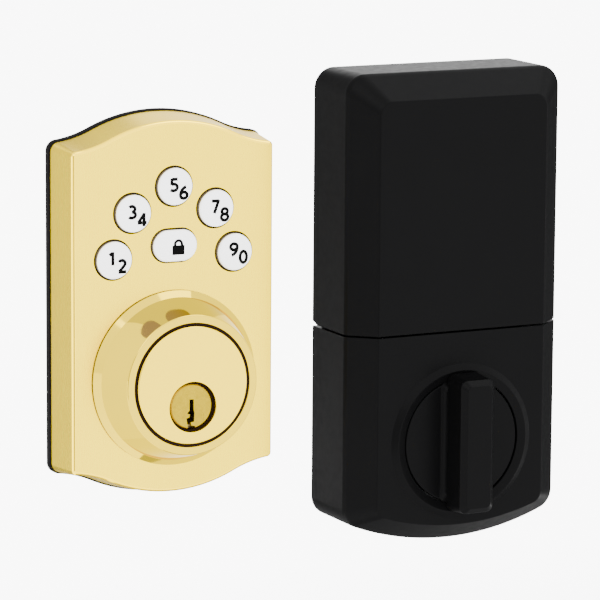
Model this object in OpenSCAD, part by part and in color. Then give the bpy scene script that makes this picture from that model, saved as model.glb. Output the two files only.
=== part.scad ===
// Keypad deadbolt lock: the keypad unit and the thumb-turn unit, side by side as they come out of the box.
// Both backs lie on the door plane y = 0 and both fronts face -Y. +Z is up.
// The origin is the key cylinder's axis where it crosses the door plane.
// Outlines are drawn in the plane of the door and extruded towards the front, so "depth" means -y.

/* [Keypad unit] */
// Half of the escutcheon's width at its front face
esc_half_w = 35.4; // [34:0.1:38]
// Top of the escutcheon's front face, above the key axis
esc_top = 90.7; // [88:0.1:96]
// Bottom of the escutcheon's front face, below the key axis
esc_bottom = 30.6; // [29:0.1:34]
// Depth of the front face
esc_depth = 16.9; // [16:0.1:20]
// How much each side leans outwards from front to back
esc_draft = 1.9; // [0:0.1:3]
// Wall of the cast escutcheon
esc_wall = 2.5; // [2:0.1:3]
// Thickness of the black gasket behind the escutcheon
gasket_t = 3; // [2:0.1:4]
// How far the gasket stands out past the front face's outline
gasket_grow = 2.3; // [2:0.1:3]
// Height of the curved crown above its shoulders
crown_h = 8.7; // [7:0.1:10]
// Radius of the crown's convex middle
crown_r = 52; // [48:1:60]
// Radius of the four corners
esc_corner_r = 2.5; // [2:0.1:5]

/* [Keypad] */
// Radius of a round button's hole
key_hole_r = 6.7; // [6.4:0.05:6.8]
// Radius of a round button
key_r = 6.05; // [5.6:0.05:6.1]
// How far the buttons stand proud of the face
key_proud = 1.8; // [1:0.1:2]
// Height of the lock button's centre, above the key axis
lock_key_z = 50.4; // [48:0.1:54]
// Full width of the lock button's hole
lock_hole_w = 16.4; // [16:0.1:18]
// Full height of the lock button's hole
lock_hole_h = 11.3; // [11:0.1:12.5]

/* [Key cylinder] */
// Height of the collar's axis above the key axis
collar_z = 7.1; // [6:0.1:8]
// Radius of the collar's base
collar_base_r = 28.7; // [28:0.1:30]
// Radius of the collar's rim, outside
collar_rim_r = 22.8; // [22:0.1:24]
// Radius of the collar's rim, inside
collar_bore_r = 20.2; // [20:0.1:21]
// Depth of the collar's rim
collar_depth = 31.5; // [30:0.1:33]
// Radius of the cylinder's round face
face_r = 19.2; // [18:0.1:19.6]
// Radius of the key plug
plug_r = 6.5; // [6.3:0.1:6.6]
// Reach of the torque blade behind the door plane
blade_reach = 48; // [35:1:60]
// Distance between the two mounting posts
post_spacing = 38; // [36:1:42]

/* [Thumb-turn unit] */
// Distance between the two units' axes, as they are laid out
unit_spacing = 98.3; // [90:0.1:140]
// Half of the housing's width
body_half_w = 39.7; // [38:0.1:42]
// Top of the housing
body_top = 103.5; // [100:0.1:108]
// Bottom of the housing's bowed end
body_bottom = -54.3; // [-58:0.1:-52]
// Radius of the bowed end
bow_r = 95; // [85:1:110]
// Radius of the housing's corners
body_corner_r = 7; // [5:0.1:8]
// Depth where the side walls end and the bevel starts
side_depth = 23.9; // [23:0.1:25]
// Depth of the front face
face_depth = 31.6; // [31:0.1:33]
// Width of the bevel on the sides and top
bevel_w = 8.6; // [7:0.1:9]
// Width of the bevel at the bowed end
bevel_bow = 6.3; // [5:0.1:7]
// Wall of the moulded covers
cover_wall = 2; // [1.6:0.1:2.2]
// Height of the seam between the two covers
seam_z = 17.3; // [15:0.1:19]

/* [Thumb-turn] */
// Height of the thumb-turn's axis
turn_z = -19.6; // [-21:0.1:-18]
// Radius of the thumb-turn's disc
turn_disc_r = 20.8; // [20:0.1:21]
// Radius of the hole in the cover round the disc
turn_hole_r = 21.3; // [21:0.1:22]
// Outer radius of the raised ring round the disc
turn_ring_r = 25.5; // [25:0.1:26]
// Half of the grip's length
grip_half_len = 22.4; // [20:0.1:23]
// Width of the grip
grip_w = 12.5; // [10:0.1:14]
// Depth of the grip's front
grip_depth = 44.5; // [42:0.1:46]

/* [Batteries] */
// Radius of an AA cell
cell_r = 7.15; // [7:0.05:7.25]
// Length of an AA cell without its nub
cell_len = 49; // [48:0.1:49.5]
// Distance between cells
cell_pitch = 15.2; // [15:0.1:15.3]

/* [Hidden] */
$fn = 64;

esc_half_h = (esc_top + esc_bottom) / 2;
esc_mid_z = (esc_top - esc_bottom) / 2;
shoulder_x = 39;
shoulder_r = (shoulder_x * shoulder_x + crown_h * crown_h) / (2 * crown_h) - crown_r;

// Button centres, as x and z
key_places = [[-21.3, 47.0], [-14.6, 61.7], [0, 69.6], [14.6, 61.7], [21.3, 47.0]];
lock_place = [0, lock_key_z];
key_back = esc_depth - esc_wall - 1.4;
flange_r = 7.2;
flange_t = 1.2;
stem_r = 1.8;
stem_back = 9.9;

pcb_back = 6;
pcb_front = 7.6;
switch_front = 8.9;
mat_front = 10.4;
bracket_back = 4.2;
keypad_screw_places = [[-26.3, 35.5], [26.3, 35.5], [-26.3, 74.8], [26.3, 74.8]];
backplate_screw_places = [[0, 84.3], [0, -24.3], [-29, 22], [29, 22]];
backplate_t = 2;

collar_at = [0, collar_z];
shear_gap = 0.04;
chamber_r = 1.5;
pin_r = 1.42;
chamber_depths = [8.5, 12.3, 16.1, 19.9, 23.7];
key_pin_lengths = [4.3, 5.1, 4.7, 5.5, 4.0];
chamber_top = 20.5;
cylinder_r = 16;
cylinder_back = 2;
cylinder_front = 27.4;
plug_back = 5.2;
plug_head_r = 7.5;
face_front = collar_depth + 0.4;
plug_front = face_front - 1.2;
plug_gap = 0.7;
tail_r = 3.2;
tail_back = 0.6;
clip_r = 2.65;
clip_back = 1;
clip_front = 1.8;
blade_w = 5;
blade_t = 1.2;

body_at = [unit_spacing, 0];
turn_at = [unit_spacing, turn_z];
face_half_w = body_half_w - bevel_w;
face_top = body_top - bevel_w;
face_bottom = body_bottom + bevel_bow;
seam_gap = 0.6;
plate_t = 2;
chassis_back = 2.2;
chassis_front = 4.2;
chassis_grow = -2.4;
slant_depth = 3.4;
slant_height = 1.1;
rail_back = 0.5;
rail_front = 1.9;
rail_reach = 35.3;

grip_end_lean = 0.9;
spindle_r = 6;
spindle_back = 2.6;
spindle_square = 8.5;
run_gap = 0.05;

// Gears: coarse pair on the spindle, fine pair at the motor
coarse_m = 0.8;
fine_m = 0.6;
spindle_teeth = 40;
idler_small_teeth = 14;
idler_large_teeth = 36;
pinion_teeth = 14;
idler_up = coarse_m * (spindle_teeth + idler_small_teeth) / 2;
pinion_across = fine_m * (idler_large_teeth + pinion_teeth) / 2;
idler_at = turn_at + [0, idler_up];
pinion_at = idler_at + [pinion_across, 0];
fine_back = 20.4;
fine_front = 23.6;
coarse_back = 24;
coarse_front = 27.6;
gear_plate_back = 18.8;
gear_plate_front = 20;
idler_pin_r = 1.5;
motor_r = 6;
motor_back = 5;

board_back = 6;
board_front = 7.6;
tray_back = 12;
tray_floor = 13.2;
cell_depth = 20.7;
cell_bottom = 30;
tray_bottom = 25;
tray_top = 85.5;
program_at = [unit_spacing - 20, 92.5];
program_r = 3;

chassis_screw_places = [[-14, 21], [14, 21], [-33.6, 80], [33.6, 80]];
cover_screw_places = [[-32.5, 9], [32.5, 9], [-24, -42.5], [24, -42.5]];
tray_peg_places = [[-34.2, 30], [34.2, 30], [-34.2, 92], [34.2, 92]];
gear_plate_post_places = [[-24, 6], [24, -2], [-19, -36]];

gold = "#f0dfae";
mirror_gold = "#e8d28e";
steel = "silver";
brass = "#c9a94f";
black = "#1c1c1e";
board_green = "#1d5a36";

// Points along an arc, from angle a0 to a1
function arc(centre, r, a0, a1, steps) =
    [for (i = [0:steps]) centre + r * [cos(a0 + (a1 - a0) * i / steps), sin(a0 + (a1 - a0) * i / steps)]];

function reversed(list) = [for (i = [len(list) - 1:-1:0]) list[i]];
function flip_x(list) = [for (p = reversed(list)) [-p[0], p[1]]];
function flip_y(list) = [for (p = reversed(list)) [p[0], -p[1]]];

// One quarter of the escutcheon's outline, centred on its middle: corner, hollow shoulder, then crown
function esc_quarter(grow) =
    let (crown_c = [0, esc_half_h - crown_r],
         shoulder_c = [shoulder_x, esc_half_h - crown_h + shoulder_r],
         rs = shoulder_r - grow,
         cx = esc_half_w + grow - esc_corner_r,
         cz = shoulder_c[1] - sqrt(pow(rs + esc_corner_r, 2) - pow(shoulder_x - cx, 2)),
         corner_end = atan2(shoulder_c[1] - cz, shoulder_x - cx),
         join = atan2(shoulder_c[1] - crown_c[1], shoulder_x))
    concat(
        arc([cx, cz], esc_corner_r, 0, corner_end, 5),
        arc(shoulder_c, rs, corner_end - 180, join - 180, 6),
        arc(crown_c, crown_r + grow, join, 90, 7));

function without_last(list) = [for (i = [0:len(list) - 2]) list[i]];

function esc_points(grow) =
    let (quarter = esc_quarter(grow),
         upper = concat(without_last(quarter), flip_x(quarter)))
    concat(upper, flip_y(upper));

// The thumb-turn unit's outline: straight sides, rounded corners and a bowed lower end
function body_points(half_w, top, bottom, bow, corner) =
    let (bow_c = [0, bottom + bow],
         cx = half_w - corner,
         cz = bow_c[1] - sqrt(pow(bow - corner, 2) - cx * cx),
         corner_end = atan2(cz - bow_c[1], cx),
         right = concat(
             arc([cx, top - corner], corner, 90, 0, 7),
             arc([cx, cz], corner, 0, corner_end, 6),
             arc(bow_c, bow, corner_end, -90, 7)))
    concat(right, [for (i = [len(right) - 2:-1:0]) [-right[i][0], right[i][1]]]);

// Involute gear outline with stub teeth; the first tooth is centred on +X
function involute(base_r, r) =
    let (t = sqrt(pow(r / base_r, 2) - 1) * 180 / PI)
    t - atan(sqrt(pow(r / base_r, 2) - 1));

function gear_points(teeth, m, backlash) =
    let (pitch_r = m * teeth / 2,
         base_r = pitch_r * cos(20),
         tip_r = pitch_r + 0.8 * m,
         root_r = pitch_r - m,
         start_r = max(base_r, root_r + 0.02),
         half_pitch_angle = 90 / teeth - backlash / 2 / pitch_r * 180 / PI,
         flank = [for (i = [0:4])
             let (r = start_r + (tip_r - start_r) * i / 4,
                  a = half_pitch_angle + involute(base_r, pitch_r) - involute(base_r, r))
             [r, a]])
    [for (k = [0:teeth - 1])
        let (mid = k * 360 / teeth,
             side = concat([[root_r, flank[0][1] + 0.4]], flank))
        for (p = concat(
            [for (f = side) [f[0], mid - f[1]]],
            [for (f = reversed(side)) [f[0], mid + f[1]]]))
            p[0] * [cos(p[1]), sin(p[1])]];

// Puts flat drawings on the door plane, facing the front
module on_door(at = [0, 0]) {
    translate([at[0], 0, at[1]])
        rotate([90, 0, 0])
            children();
}

// A flat drawing extruded from one depth to another
module slab(back, front) {
    translate([0, 0, back])
        linear_extrude(front - back)
            children();
}

// A round rod or disc from one depth to another
module rod(r, back, front) {
    translate([0, 0, back])
        cylinder(r = r, h = front - back);
}

module at(place) {
    translate([place[0], place[1], 0])
        children();
}

module rounded_rect(w, h, r) {
    union() {
        square([w - 2 * r, h], center = true);
        square([w, h - 2 * r], center = true);
        for (x = [-1, 1], y = [-1, 1])
            translate([x * (w / 2 - r), y * (h / 2 - r)])
                circle(r);
    }
}

module stadium(w, h) {
    union() {
        square([w - h, h], center = true);
        for (x = [-1, 1])
            translate([x * (w - h) / 2, 0])
                circle(h / 2);
    }
}

module esc_outline(grow = 0) {
    translate([0, esc_mid_z])
        polygon(esc_points(grow));
}

// A pan-head screw seen from behind: the head at the back, the shank towards the front
module rear_screw(head_r, shank_r, head_back, shank_back, shank_front) {
    difference() {
        union() {
            rod(head_r, head_back, shank_back);
            rod(shank_r, shank_back - 0.2, shank_front);
        }
        slab(head_back - 1, head_back + 0.6)
            square([0.6, head_r * 1.3], center = true);
        slab(head_back - 1, head_back + 0.6)
            square([head_r * 1.3, 0.6], center = true);
    }
}

// The same screw turned round: the head at the front
module front_screw(head_r, shank_r, shank_back, head_back, head_front) {
    difference() {
        union() {
            rod(shank_r, shank_back, head_back + 0.2);
            rod(head_r, head_back, head_front);
        }
        slab(head_front - 0.6, head_front + 1)
            square([0.6, head_r * 1.3], center = true);
        slab(head_front - 0.6, head_front + 1)
            square([head_r * 1.3, 0.6], center = true);
    }
}

// ---------------------------------------------------------------- keypad unit

module exterior_escutcheon() {
    grow_x = (esc_half_w + esc_draft) / esc_half_w;
    grow_z = (esc_half_h + esc_draft) / esc_half_h;
    color(gold)
        on_door()
            difference() {
                union() {
                    difference() {
                        translate([0, esc_mid_z, gasket_t])
                            linear_extrude(esc_depth - gasket_t, slices = 1,
                                           scale = [1 / grow_x, 1 / grow_z])
                                polygon(esc_points(esc_draft));
                        slab(gasket_t - 1, esc_depth - esc_wall)
                            esc_outline(-esc_wall);
                    }
                    for (p = keypad_screw_places)
                        at(p) rod(2.6, pcb_front + 0.2, esc_depth - 1);
                    for (p = backplate_screw_places)
                        at(p) rod(3, backplate_t, esc_depth - 1);
                }
                for (p = key_places)
                    at(p) rod(key_hole_r, gasket_t, esc_depth + 1);
                at(lock_place)
                    slab(gasket_t, esc_depth + 1)
                        stadium(lock_hole_w, lock_hole_h);
                at(collar_at) rod(collar_bore_r, gasket_t, esc_depth + 1);
                for (p = keypad_screw_places)
                    at(p) rod(1, pcb_front, esc_depth - 2);
                for (p = backplate_screw_places)
                    at(p) rod(1.2, backplate_t - 1, esc_depth - 3);
            }
}

module exterior_gasket() {
    color(black)
        on_door()
            difference() {
                slab(0, gasket_t) esc_outline(gasket_grow);
                slab(-1, gasket_t + 1) esc_outline(-0.6);
            }
}

module exterior_backplate() {
    color(steel)
        on_door()
            difference() {
                slab(0, backplate_t) esc_outline(-0.8);
                rod(9, -1, backplate_t + 1);
                for (x = [-1, 1])
                    at([x * post_spacing / 2, 0]) rod(4.6, -1, backplate_t + 1);
                for (p = backplate_screw_places)
                    at(p) rod(1.7, -1, backplate_t + 1);
                for (p = backplate_screw_places)
                    at(p) rod(3.2, -1, 1.4);
                for (x = [-1, 1])
                    at([x * 11, 10]) rod(1.7, -1, backplate_t + 1);
                for (x = [-1, 1])
                    at([x * 11, 10]) rod(3.2, -1, 1.4);
                // Slot for the cable that crosses the door, and lightening holes
                at([0, -17])
                    slab(-1, backplate_t + 1)
                        stadium(16, 6);
                for (x = [-1, 1])
                    at([x * 19, 56]) rod(5, -1, backplate_t + 1);
            }
}

module backplate_screws() {
    color(steel)
        on_door()
            for (p = backplate_screw_places)
                at(p) rear_screw(3, 1.15, 0.1, 1.3, esc_depth - 4);
}

module mounting_posts() {
    color(steel)
        on_door()
            for (x = [-1, 1])
                at([x * post_spacing / 2, 0])
                    difference() {
                        union() {
                            rod(4.5, -12, 3.4);
                            slab(backplate_t, 3.4)
                                circle(6.6, $fn = 6);
                        }
                        rod(2.05, -13, 3);
                    }
}

module cylinder_collar() {
    color(mirror_gold)
        on_door(collar_at)
            rotate_extrude($fn = 128)
                polygon([
                    [collar_bore_r, esc_depth],
                    [collar_base_r, esc_depth],
                    [collar_base_r, esc_depth + 0.5],
                    [collar_base_r - 2, esc_depth + 2.5],
                    [collar_rim_r + 0.6, collar_depth - 0.5],
                    [collar_rim_r, collar_depth],
                    [collar_bore_r + 0.2, collar_depth],
                    [collar_bore_r, collar_depth - 0.2]
                ]);
}

module cylinder_face() {
    color(gold)
        on_door()
            difference() {
                at(collar_at) rod(face_r, cylinder_front, face_front);
                rod(plug_head_r + plug_gap, cylinder_front - 1, face_front + 1);
            }
}

module cylinder_body() {
    color(brass)
        on_door()
            difference() {
                union() {
                    at(collar_at) rod(cylinder_r, cylinder_back, cylinder_front);
                    at(collar_at) rod(collar_bore_r - 0.6, 12, esc_depth - esc_wall);
                }
                rod(plug_r + shear_gap, plug_back, cylinder_front + 1);
                rod(3.4, cylinder_back - 1, plug_back + 1);
                for (d = chamber_depths)
                    translate([0, 0, d])
                        rotate([-90, 0, 0])
                            cylinder(r = chamber_r, h = 40);
                for (x = [-1, 1])
                    at([x * 11, 10]) rod(1.3, cylinder_back - 1, 9);
                for (x = [-1, 1])
                    at([x * post_spacing / 2, 0]) rod(7, cylinder_back - 1, 4);
                // Flat on top, where the chamber cap closes the pin chambers
                slab(cylinder_back - 1, cylinder_front + 1)
                    translate([-3.2, chamber_top])
                        square([6.4, 12]);
            }
}

module cylinder_screws() {
    color(steel)
        on_door()
            for (x = [-1, 1])
                at([x * 11, 10]) rear_screw(3, 1.25, 0.1, 1.3, 8.4);
}

module chamber_cap() {
    color(brass)
        on_door()
            slab(6, 26)
                translate([-3, chamber_top])
                    square([6, 1.4]);
}

// The keyway's section: a crooked slot, open at the bottom of the plug
module keyway() {
    polygon([
        [-0.7, 2.3], [0.75, 2.3], [0.75, -1.2], [1.05, -2.1], [0.9, -5.0],
        [-0.3, -5.2], [-0.1, -6.2], [1.3, -6.5], [1.3, -8.5], [-1.0, -8.5],
        [-1.8, -3.8], [-0.7, -3.5], [-0.5, -2.6], [-1.55, -2.2], [-0.7, -1.2]
    ]);
}

module key_plug() {
    color(mirror_gold)
        on_door()
            difference() {
                union() {
                    rod(plug_r, plug_back + 0.2, cylinder_front + 0.6);
                    rod(plug_head_r, cylinder_front + 0.3, plug_front);
                    rod(tail_r, tail_back, plug_back + 0.4);
                }
                slab(plug_back + 2, face_front + 1) keyway();
                for (i = [0:4])
                    translate([0, 0, chamber_depths[i]])
                        rotate([-90, 0, 0])
                            cylinder(r = chamber_r, h = 9);
                // Groove for the clip, and a slot across the tail for the torque blade
                difference() {
                    rod(tail_r + 1, clip_back - 0.05, clip_front + 0.05);
                    rod(clip_r, clip_back - 1, clip_front + 1);
                }
                slab(tail_back - 1, plug_back + 0.6)
                    square([blade_w + 0.1, blade_t + 0.1], center = true);
            }
}

module key_pins() {
    color(brass)
        on_door()
            for (i = [0:4])
                translate([0, plug_r - 0.28, chamber_depths[i]])
                    rotate([90, 0, 0])
                        cylinder(r = pin_r, h = key_pin_lengths[i]);
}

module driver_pins() {
    color(steel)
        on_door()
            for (d = chamber_depths)
                translate([0, plug_r + 0.12, d])
                    rotate([-90, 0, 0])
                        cylinder(r = pin_r, h = 5.6);
}

module pin_springs() {
    color(steel)
        on_door()
            for (d = chamber_depths)
                translate([0, plug_r + 5.9, d])
                    rotate([-90, 0, 0])
                        difference() {
                            cylinder(r = 1.3, h = chamber_top - plug_r - 6);
                            translate([0, 0, -1])
                                cylinder(r = 0.9, h = 20);
                        }
}

module plug_clip() {
    color(steel)
        on_door()
            difference() {
                rod(5, clip_back, clip_front);
                rod(clip_r + 0.02, clip_back - 1, clip_front + 1);
                slab(clip_back - 1, clip_front + 1)
                    translate([0, -4])
                        square([3.8, 8], center = true);
            }
}

module torque_blade() {
    color(steel)
        on_door()
            slab(-blade_reach, plug_back + 0.5)
                square([blade_w, blade_t], center = true);
}

module button_round(place) {
    color("#ececec")
        on_door(place)
            union() {
                rod(key_r, key_back + flange_t - 0.2, esc_depth + key_proud);
                rod(flange_r, key_back, key_back + flange_t);
                rod(stem_r, stem_back, key_back + 0.2);
            }
}

module button_lock() {
    color("#ececec")
        on_door(lock_place)
            union() {
                slab(key_back + flange_t - 0.2, esc_depth + key_proud)
                    stadium(lock_hole_w - 1, lock_hole_h - 1);
                slab(key_back, key_back + flange_t)
                    stadium(lock_hole_w + 1.4, lock_hole_h + 1.4);
                rod(stem_r, stem_back, key_back + 0.2);
            }
}

module keypad_mat() {
    color("#555555")
        on_door()
            difference() {
                at([0, 59]) slab(pcb_front, mat_front) rounded_rect(60, 39.4, 3);
                at([0, 59]) slab(pcb_front - 1, mat_front - 1.2) rounded_rect(57, 36.4, 2);
                for (p = concat(key_places, [lock_place]))
                    at(p) rod(2.6, pcb_front, mat_front + 1);
                for (p = keypad_screw_places)
                    at(p) rod(3.2, pcb_front - 1, mat_front + 1);
            }
}

module keypad_pcb() {
    color(board_green)
        on_door()
            difference() {
                at([0, 55.3]) slab(pcb_back, pcb_front) rounded_rect(60, 47, 2.5);
                for (p = keypad_screw_places)
                    at(p) rod(1.5, pcb_back - 1, pcb_front + 1);
            }
}

module dome_switches() {
    color(steel)
        on_door()
            for (p = concat(key_places, [lock_place]))
                at(p) {
                    slab(pcb_front, pcb_front + 0.8) rounded_rect(6, 6, 0.5);
                    rod(1.7, pcb_front + 0.7, switch_front);
                }
}

module keypad_bracket() {
    color(black)
        on_door()
            difference() {
                at([0, 55.3]) slab(bracket_back, pcb_back) rounded_rect(61, 48, 3);
                at([0, 55.3]) slab(bracket_back - 1, bracket_back + 0.6) rounded_rect(40, 36, 3);
                for (p = keypad_screw_places)
                    at(p) rod(1.3, bracket_back - 1, pcb_back + 1);
            }
}

module keypad_screws() {
    color(steel)
        on_door()
            for (p = keypad_screw_places)
                at(p) rear_screw(2.2, 0.95, 2.9, bracket_back, 13);
}

module keypad_connector() {
    color("#f2eee0")
        on_door([0, 35.6])
            difference() {
                slab(pcb_front, 12) square([13, 5], center = true);
                slab(9, 13) square([11.4, 3.4], center = true);
            }
}

// ------------------------------------------------------------ thumb-turn unit

module body_outline(grow = 0) {
    polygon(body_points(body_half_w + grow, body_top + grow, body_bottom - grow, bow_r + grow,
        body_corner_r + grow));
}

module face_outline(grow = 0) {
    polygon(body_points(face_half_w + grow, face_top + grow, face_bottom - grow, bow_r - bevel_bow + grow,
        4.5 + grow));
}

// The bevelled block that both covers are cut from, shrunk by the given amount
module cover_block(back, shrink) {
    hull() {
        slab(back, side_depth - 0.35 * shrink) body_outline(-shrink);
        slab(face_depth - shrink - 0.01, face_depth - shrink) face_outline(-0.45 * shrink);
    }
}

module lower_cover() {
    boss_floor = chassis_front;
    color(black)
        on_door(body_at)
            difference() {
                union() {
                    difference() {
                        cover_block(0, 0);
                        cover_block(-1, cover_wall);
                        slab(-2, face_depth + 1)
                            translate([-60, seam_z - seam_gap / 2])
                                square([120, 120]);
                    }
                    for (p = cover_screw_places)
                        at(p) rod(2.6, boss_floor, 22);
                    // Ribs that tie the bosses to the nearest wall
                    for (p = cover_screw_places)
                        at(p)
                            slab(boss_floor + 6, 22)
                                translate(p[1] > 0 ? [sign(p[0]) * 3, 0] : [0, -4])
                                    square(p[1] > 0 ? [6, 1.2] : [1.2, 8], center = true);
                    at([0, turn_z])
                        rotate_extrude($fn = 128)
                            polygon([
                                [turn_hole_r - 0.5, face_depth - cover_wall],
                                [turn_ring_r, face_depth - cover_wall],
                                [turn_ring_r, face_depth + 0.3],
                                [turn_ring_r - 0.7, face_depth + 1.2],
                                [turn_ring_r - 1.8, face_depth + 1.3],
                                [turn_hole_r - 0.5, face_depth - 0.2]
                            ]);
                }
                at([0, turn_z]) rod(turn_hole_r, face_depth - cover_wall - 2, face_depth + 3);
                for (p = cover_screw_places)
                    at(p) rod(1.1, boss_floor - 1, 18);
            }
}

module battery_cover() {
    color(black)
        on_door(body_at)
            difference() {
                union() {
                    difference() {
                        cover_block(0, 0);
                        cover_block(-1, cover_wall);
                    }
                    // Rails that slide behind the edges of the chassis
                    for (x = [-1, 1])
                        slab(rail_back, rail_front)
                            translate([x * (rail_reach + body_half_w - 1) / 2, 57])
                                square([body_half_w - 1 - rail_reach, 76], center = true);
                }
                slab(-2, face_depth + 1)
                    translate([-60, seam_z + seam_gap / 2 - 200])
                        square([120, 200]);
                // The lower back corners are cut back at a slant
                translate([0, seam_z + seam_gap / 2, 0])
                    rotate([0, 90, 0])
                        linear_extrude(120, center = true)
                            polygon([[1, -1], [-slant_depth, 0], [1, slant_height * 1.3]]);
            }
}

module interior_mounting_plate() {
    color(steel)
        on_door(body_at)
            difference() {
                union() {
                    slab(0, plate_t)
                        translate([0, -15])
                            rounded_rect(60, 60, 6);
                    slab(0, plate_t)
                        translate([0, 40])
                            rounded_rect(68, 110, 4);
                }
                at([0, turn_z]) rod(9, -1, plate_t + 1);
                for (x = [-1, 1])
                    at([x * post_spacing / 2, turn_z]) rod(2.3, -1, plate_t + 1);
                for (p = chassis_screw_places)
                    at(p) rod(1.3, -1, plate_t + 1);
                for (p = cover_screw_places)
                    at(p) rod(3.4, -1, plate_t + 1);
                // Opening for the cable, and two lightening windows
                at([0, 4]) slab(-1, plate_t + 1) stadium(24, 10);
                for (z = [42, 70])
                    at([0, z]) slab(-1, plate_t + 1) rounded_rect(40, 18, 3);
            }
}

module chassis_screws() {
    color(steel)
        on_door(body_at)
            for (p = chassis_screw_places)
                at(p) front_screw(2.5, 1.25, 0.2, chassis_front, chassis_front + 1.6);
}

module interior_chassis() {
    color(black)
        on_door(body_at)
            difference() {
                union() {
                    slab(chassis_back, chassis_front)
                        body_outline(chassis_grow);
                    at([0, turn_z]) rod(9.5, chassis_back, 10);
                    at([0, turn_z + idler_up]) rod(3.5, chassis_back, 9);
                    for (p = gear_plate_post_places)
                        at(p) rod(3, chassis_back, gear_plate_back);
                    for (x = [-1, 1], z = [26, 98])
                        at([x * 27, z]) rod(2.5, chassis_back, board_back);
                    for (p = tray_peg_places) {
                        at(p) rod(1.7, chassis_back, tray_back);
                        at(p) rod(0.95, tray_back - 0.2, tray_floor + 0.4);
                    }
                    // Motor cradle
                    at([pinion_across, turn_z + idler_up])
                        slab(chassis_back, 11)
                            translate([0, -7.2])
                                square([12, 1.6], center = true);
                    at([pinion_across, turn_z + idler_up])
                        slab(chassis_back, 11)
                            translate([0, 7.2])
                                square([12, 1.6], center = true);
                }
                at([0, turn_z]) rod(spindle_r + run_gap, chassis_back - 1, 11);
                at([0, turn_z + idler_up]) rod(idler_pin_r, chassis_back + 1, 10);
                for (x = [-1, 1])
                    at([x * post_spacing / 2, turn_z]) rod(5.2, chassis_back - 1, chassis_front + 1);
                for (p = chassis_screw_places)
                    at(p) rod(1.4, chassis_back - 1, chassis_front + 1);
                for (p = cover_screw_places)
                    at(p) rod(1.4, chassis_back - 1, chassis_front + 1);
                for (p = gear_plate_post_places)
                    at(p) rod(0.9, 12, gear_plate_back + 1);
            }
}

module cover_screws() {
    color(steel)
        on_door(body_at)
            for (p = cover_screw_places)
                at(p) rear_screw(2.6, 1.05, 0.8, chassis_back, 15);
}

// The grip's plan, narrowed by the given amount for its chamfered front edge
module grip_plan(shrink, lengthen = 0) {
    rounded_rect(grip_w - 2 * shrink, 2 * (grip_half_len - shrink + lengthen), 2.4);
}

module thumbturn() {
    lift = face_depth + 1.8;
    color(black)
        on_door(turn_at)
            difference() {
                union() {
                    rod(turn_disc_r, 29.2, face_depth + 0.3);
                    slab(face_depth - 0.5, lift + 1)
                        intersection() {
                            grip_plan(0);
                            circle(turn_disc_r - 0.6);
                        }
                    hull() {
                        slab(lift, lift + 0.5) grip_plan(0, grip_end_lean);
                        slab(grip_depth - 2, grip_depth - 1.75) grip_plan(0);
                        slab(grip_depth - 0.01, grip_depth) grip_plan(1.75);
                    }
                }
                difference() {
                    rod(17.5, 28, 30.4);
                    rod(9.5, 27, 31);
                }
                slab(28, 31.3) square(spindle_square + 0.1, center = true);
            }
}

module turn_flange() {
    color("#e8e4d8")
        on_door(turn_at)
            difference() {
                rod(22.8, 28.2, 29.2);
                rod(9, 27, 30);
            }
}

module turn_spindle() {
    color(steel)
        on_door(turn_at)
            difference() {
                union() {
                    rod(spindle_r, spindle_back, coarse_back - 0.2);
                    slab(coarse_back - 0.4, 31)
                        square(spindle_square, center = true);
                }
                // Slot that takes the torque blade
                slab(spindle_back - 1, 21)
                    square([blade_w + 0.6, blade_t + 0.5], center = true);
            }
}

module spindle_gear() {
    color("#d9d4c4")
        on_door(turn_at)
            difference() {
                union() {
                    slab(coarse_back, coarse_front)
                        polygon(gear_points(spindle_teeth, coarse_m, 0.14));
                    rod(8, coarse_back - 2.4, coarse_back + 0.2);
                }
                slab(coarse_back - 0.4, coarse_front + 1)
                    square(spindle_square + 0.1, center = true);
                rod(spindle_r + 0.1, coarse_back - 3, coarse_back - 0.1);
            }
}

module position_cam() {
    color("#e8e4d8")
        on_door(turn_at)
            difference() {
                slab(12, 14.5)
                    union() {
                        circle(8);
                        translate([0, -7]) rounded_rect(5, 5, 1.5);
                    }
                rod(spindle_r + 0.02, 11, 16);
            }
}

module position_switches() {
    color("#202024")
        on_door(turn_at)
            for (x = [-1, 1])
                translate([x * 16.2, 0, 0]) {
                    slab(11.6, 15)
                        square([7, 11], center = true);
                    slab(12.4, 14.2)
                        translate([x * -4.2, 0])
                            square([1.6, 3], center = true);
                }
}

module idler_gear() {
    color("#d9d4c4")
        on_door(idler_at)
            difference() {
                union() {
                    slab(fine_back, fine_front)
                        polygon(gear_points(idler_large_teeth, fine_m, 0.12));
                    slab(fine_front - 0.2, coarse_front)
                        polygon(gear_points(idler_small_teeth, coarse_m, 0.14));
                }
                rod(idler_pin_r + run_gap, fine_back - 1, coarse_front + 1);
            }
}

module idler_pin() {
    color(steel)
        on_door(idler_at)
            rod(idler_pin_r, chassis_back + 1, coarse_front + 0.2);
}

module gear_plate() {
    motor_corner = [pinion_across, idler_up];
    color(steel)
        on_door(turn_at)
            difference() {
                slab(gear_plate_back, gear_plate_front)
                    union() {
                        circle(12);
                        translate([0, 12]) square([54, 31], center = true);
                        translate([-11, -11]) rounded_rect(24, 18, 3);
                    }
                rod(spindle_r + run_gap, 18, 21);
                at([0, idler_up]) rod(idler_pin_r, 18, 21);
                at(motor_corner) rod(2, 18, 21);
                for (p = gear_plate_post_places)
                    at(p - [0, turn_z]) rod(1.1, 18, 21);
                for (a = [45, 225])
                    at(motor_corner + 4.2 * [cos(a), sin(a)]) rod(0.8, 18, 21);
            }
}

module gear_plate_screws() {
    color(steel)
        on_door(body_at)
            for (p = gear_plate_post_places)
                at(p) front_screw(1.9, 0.85, 13, gear_plate_front, gear_plate_front + 1.2);
}

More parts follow.
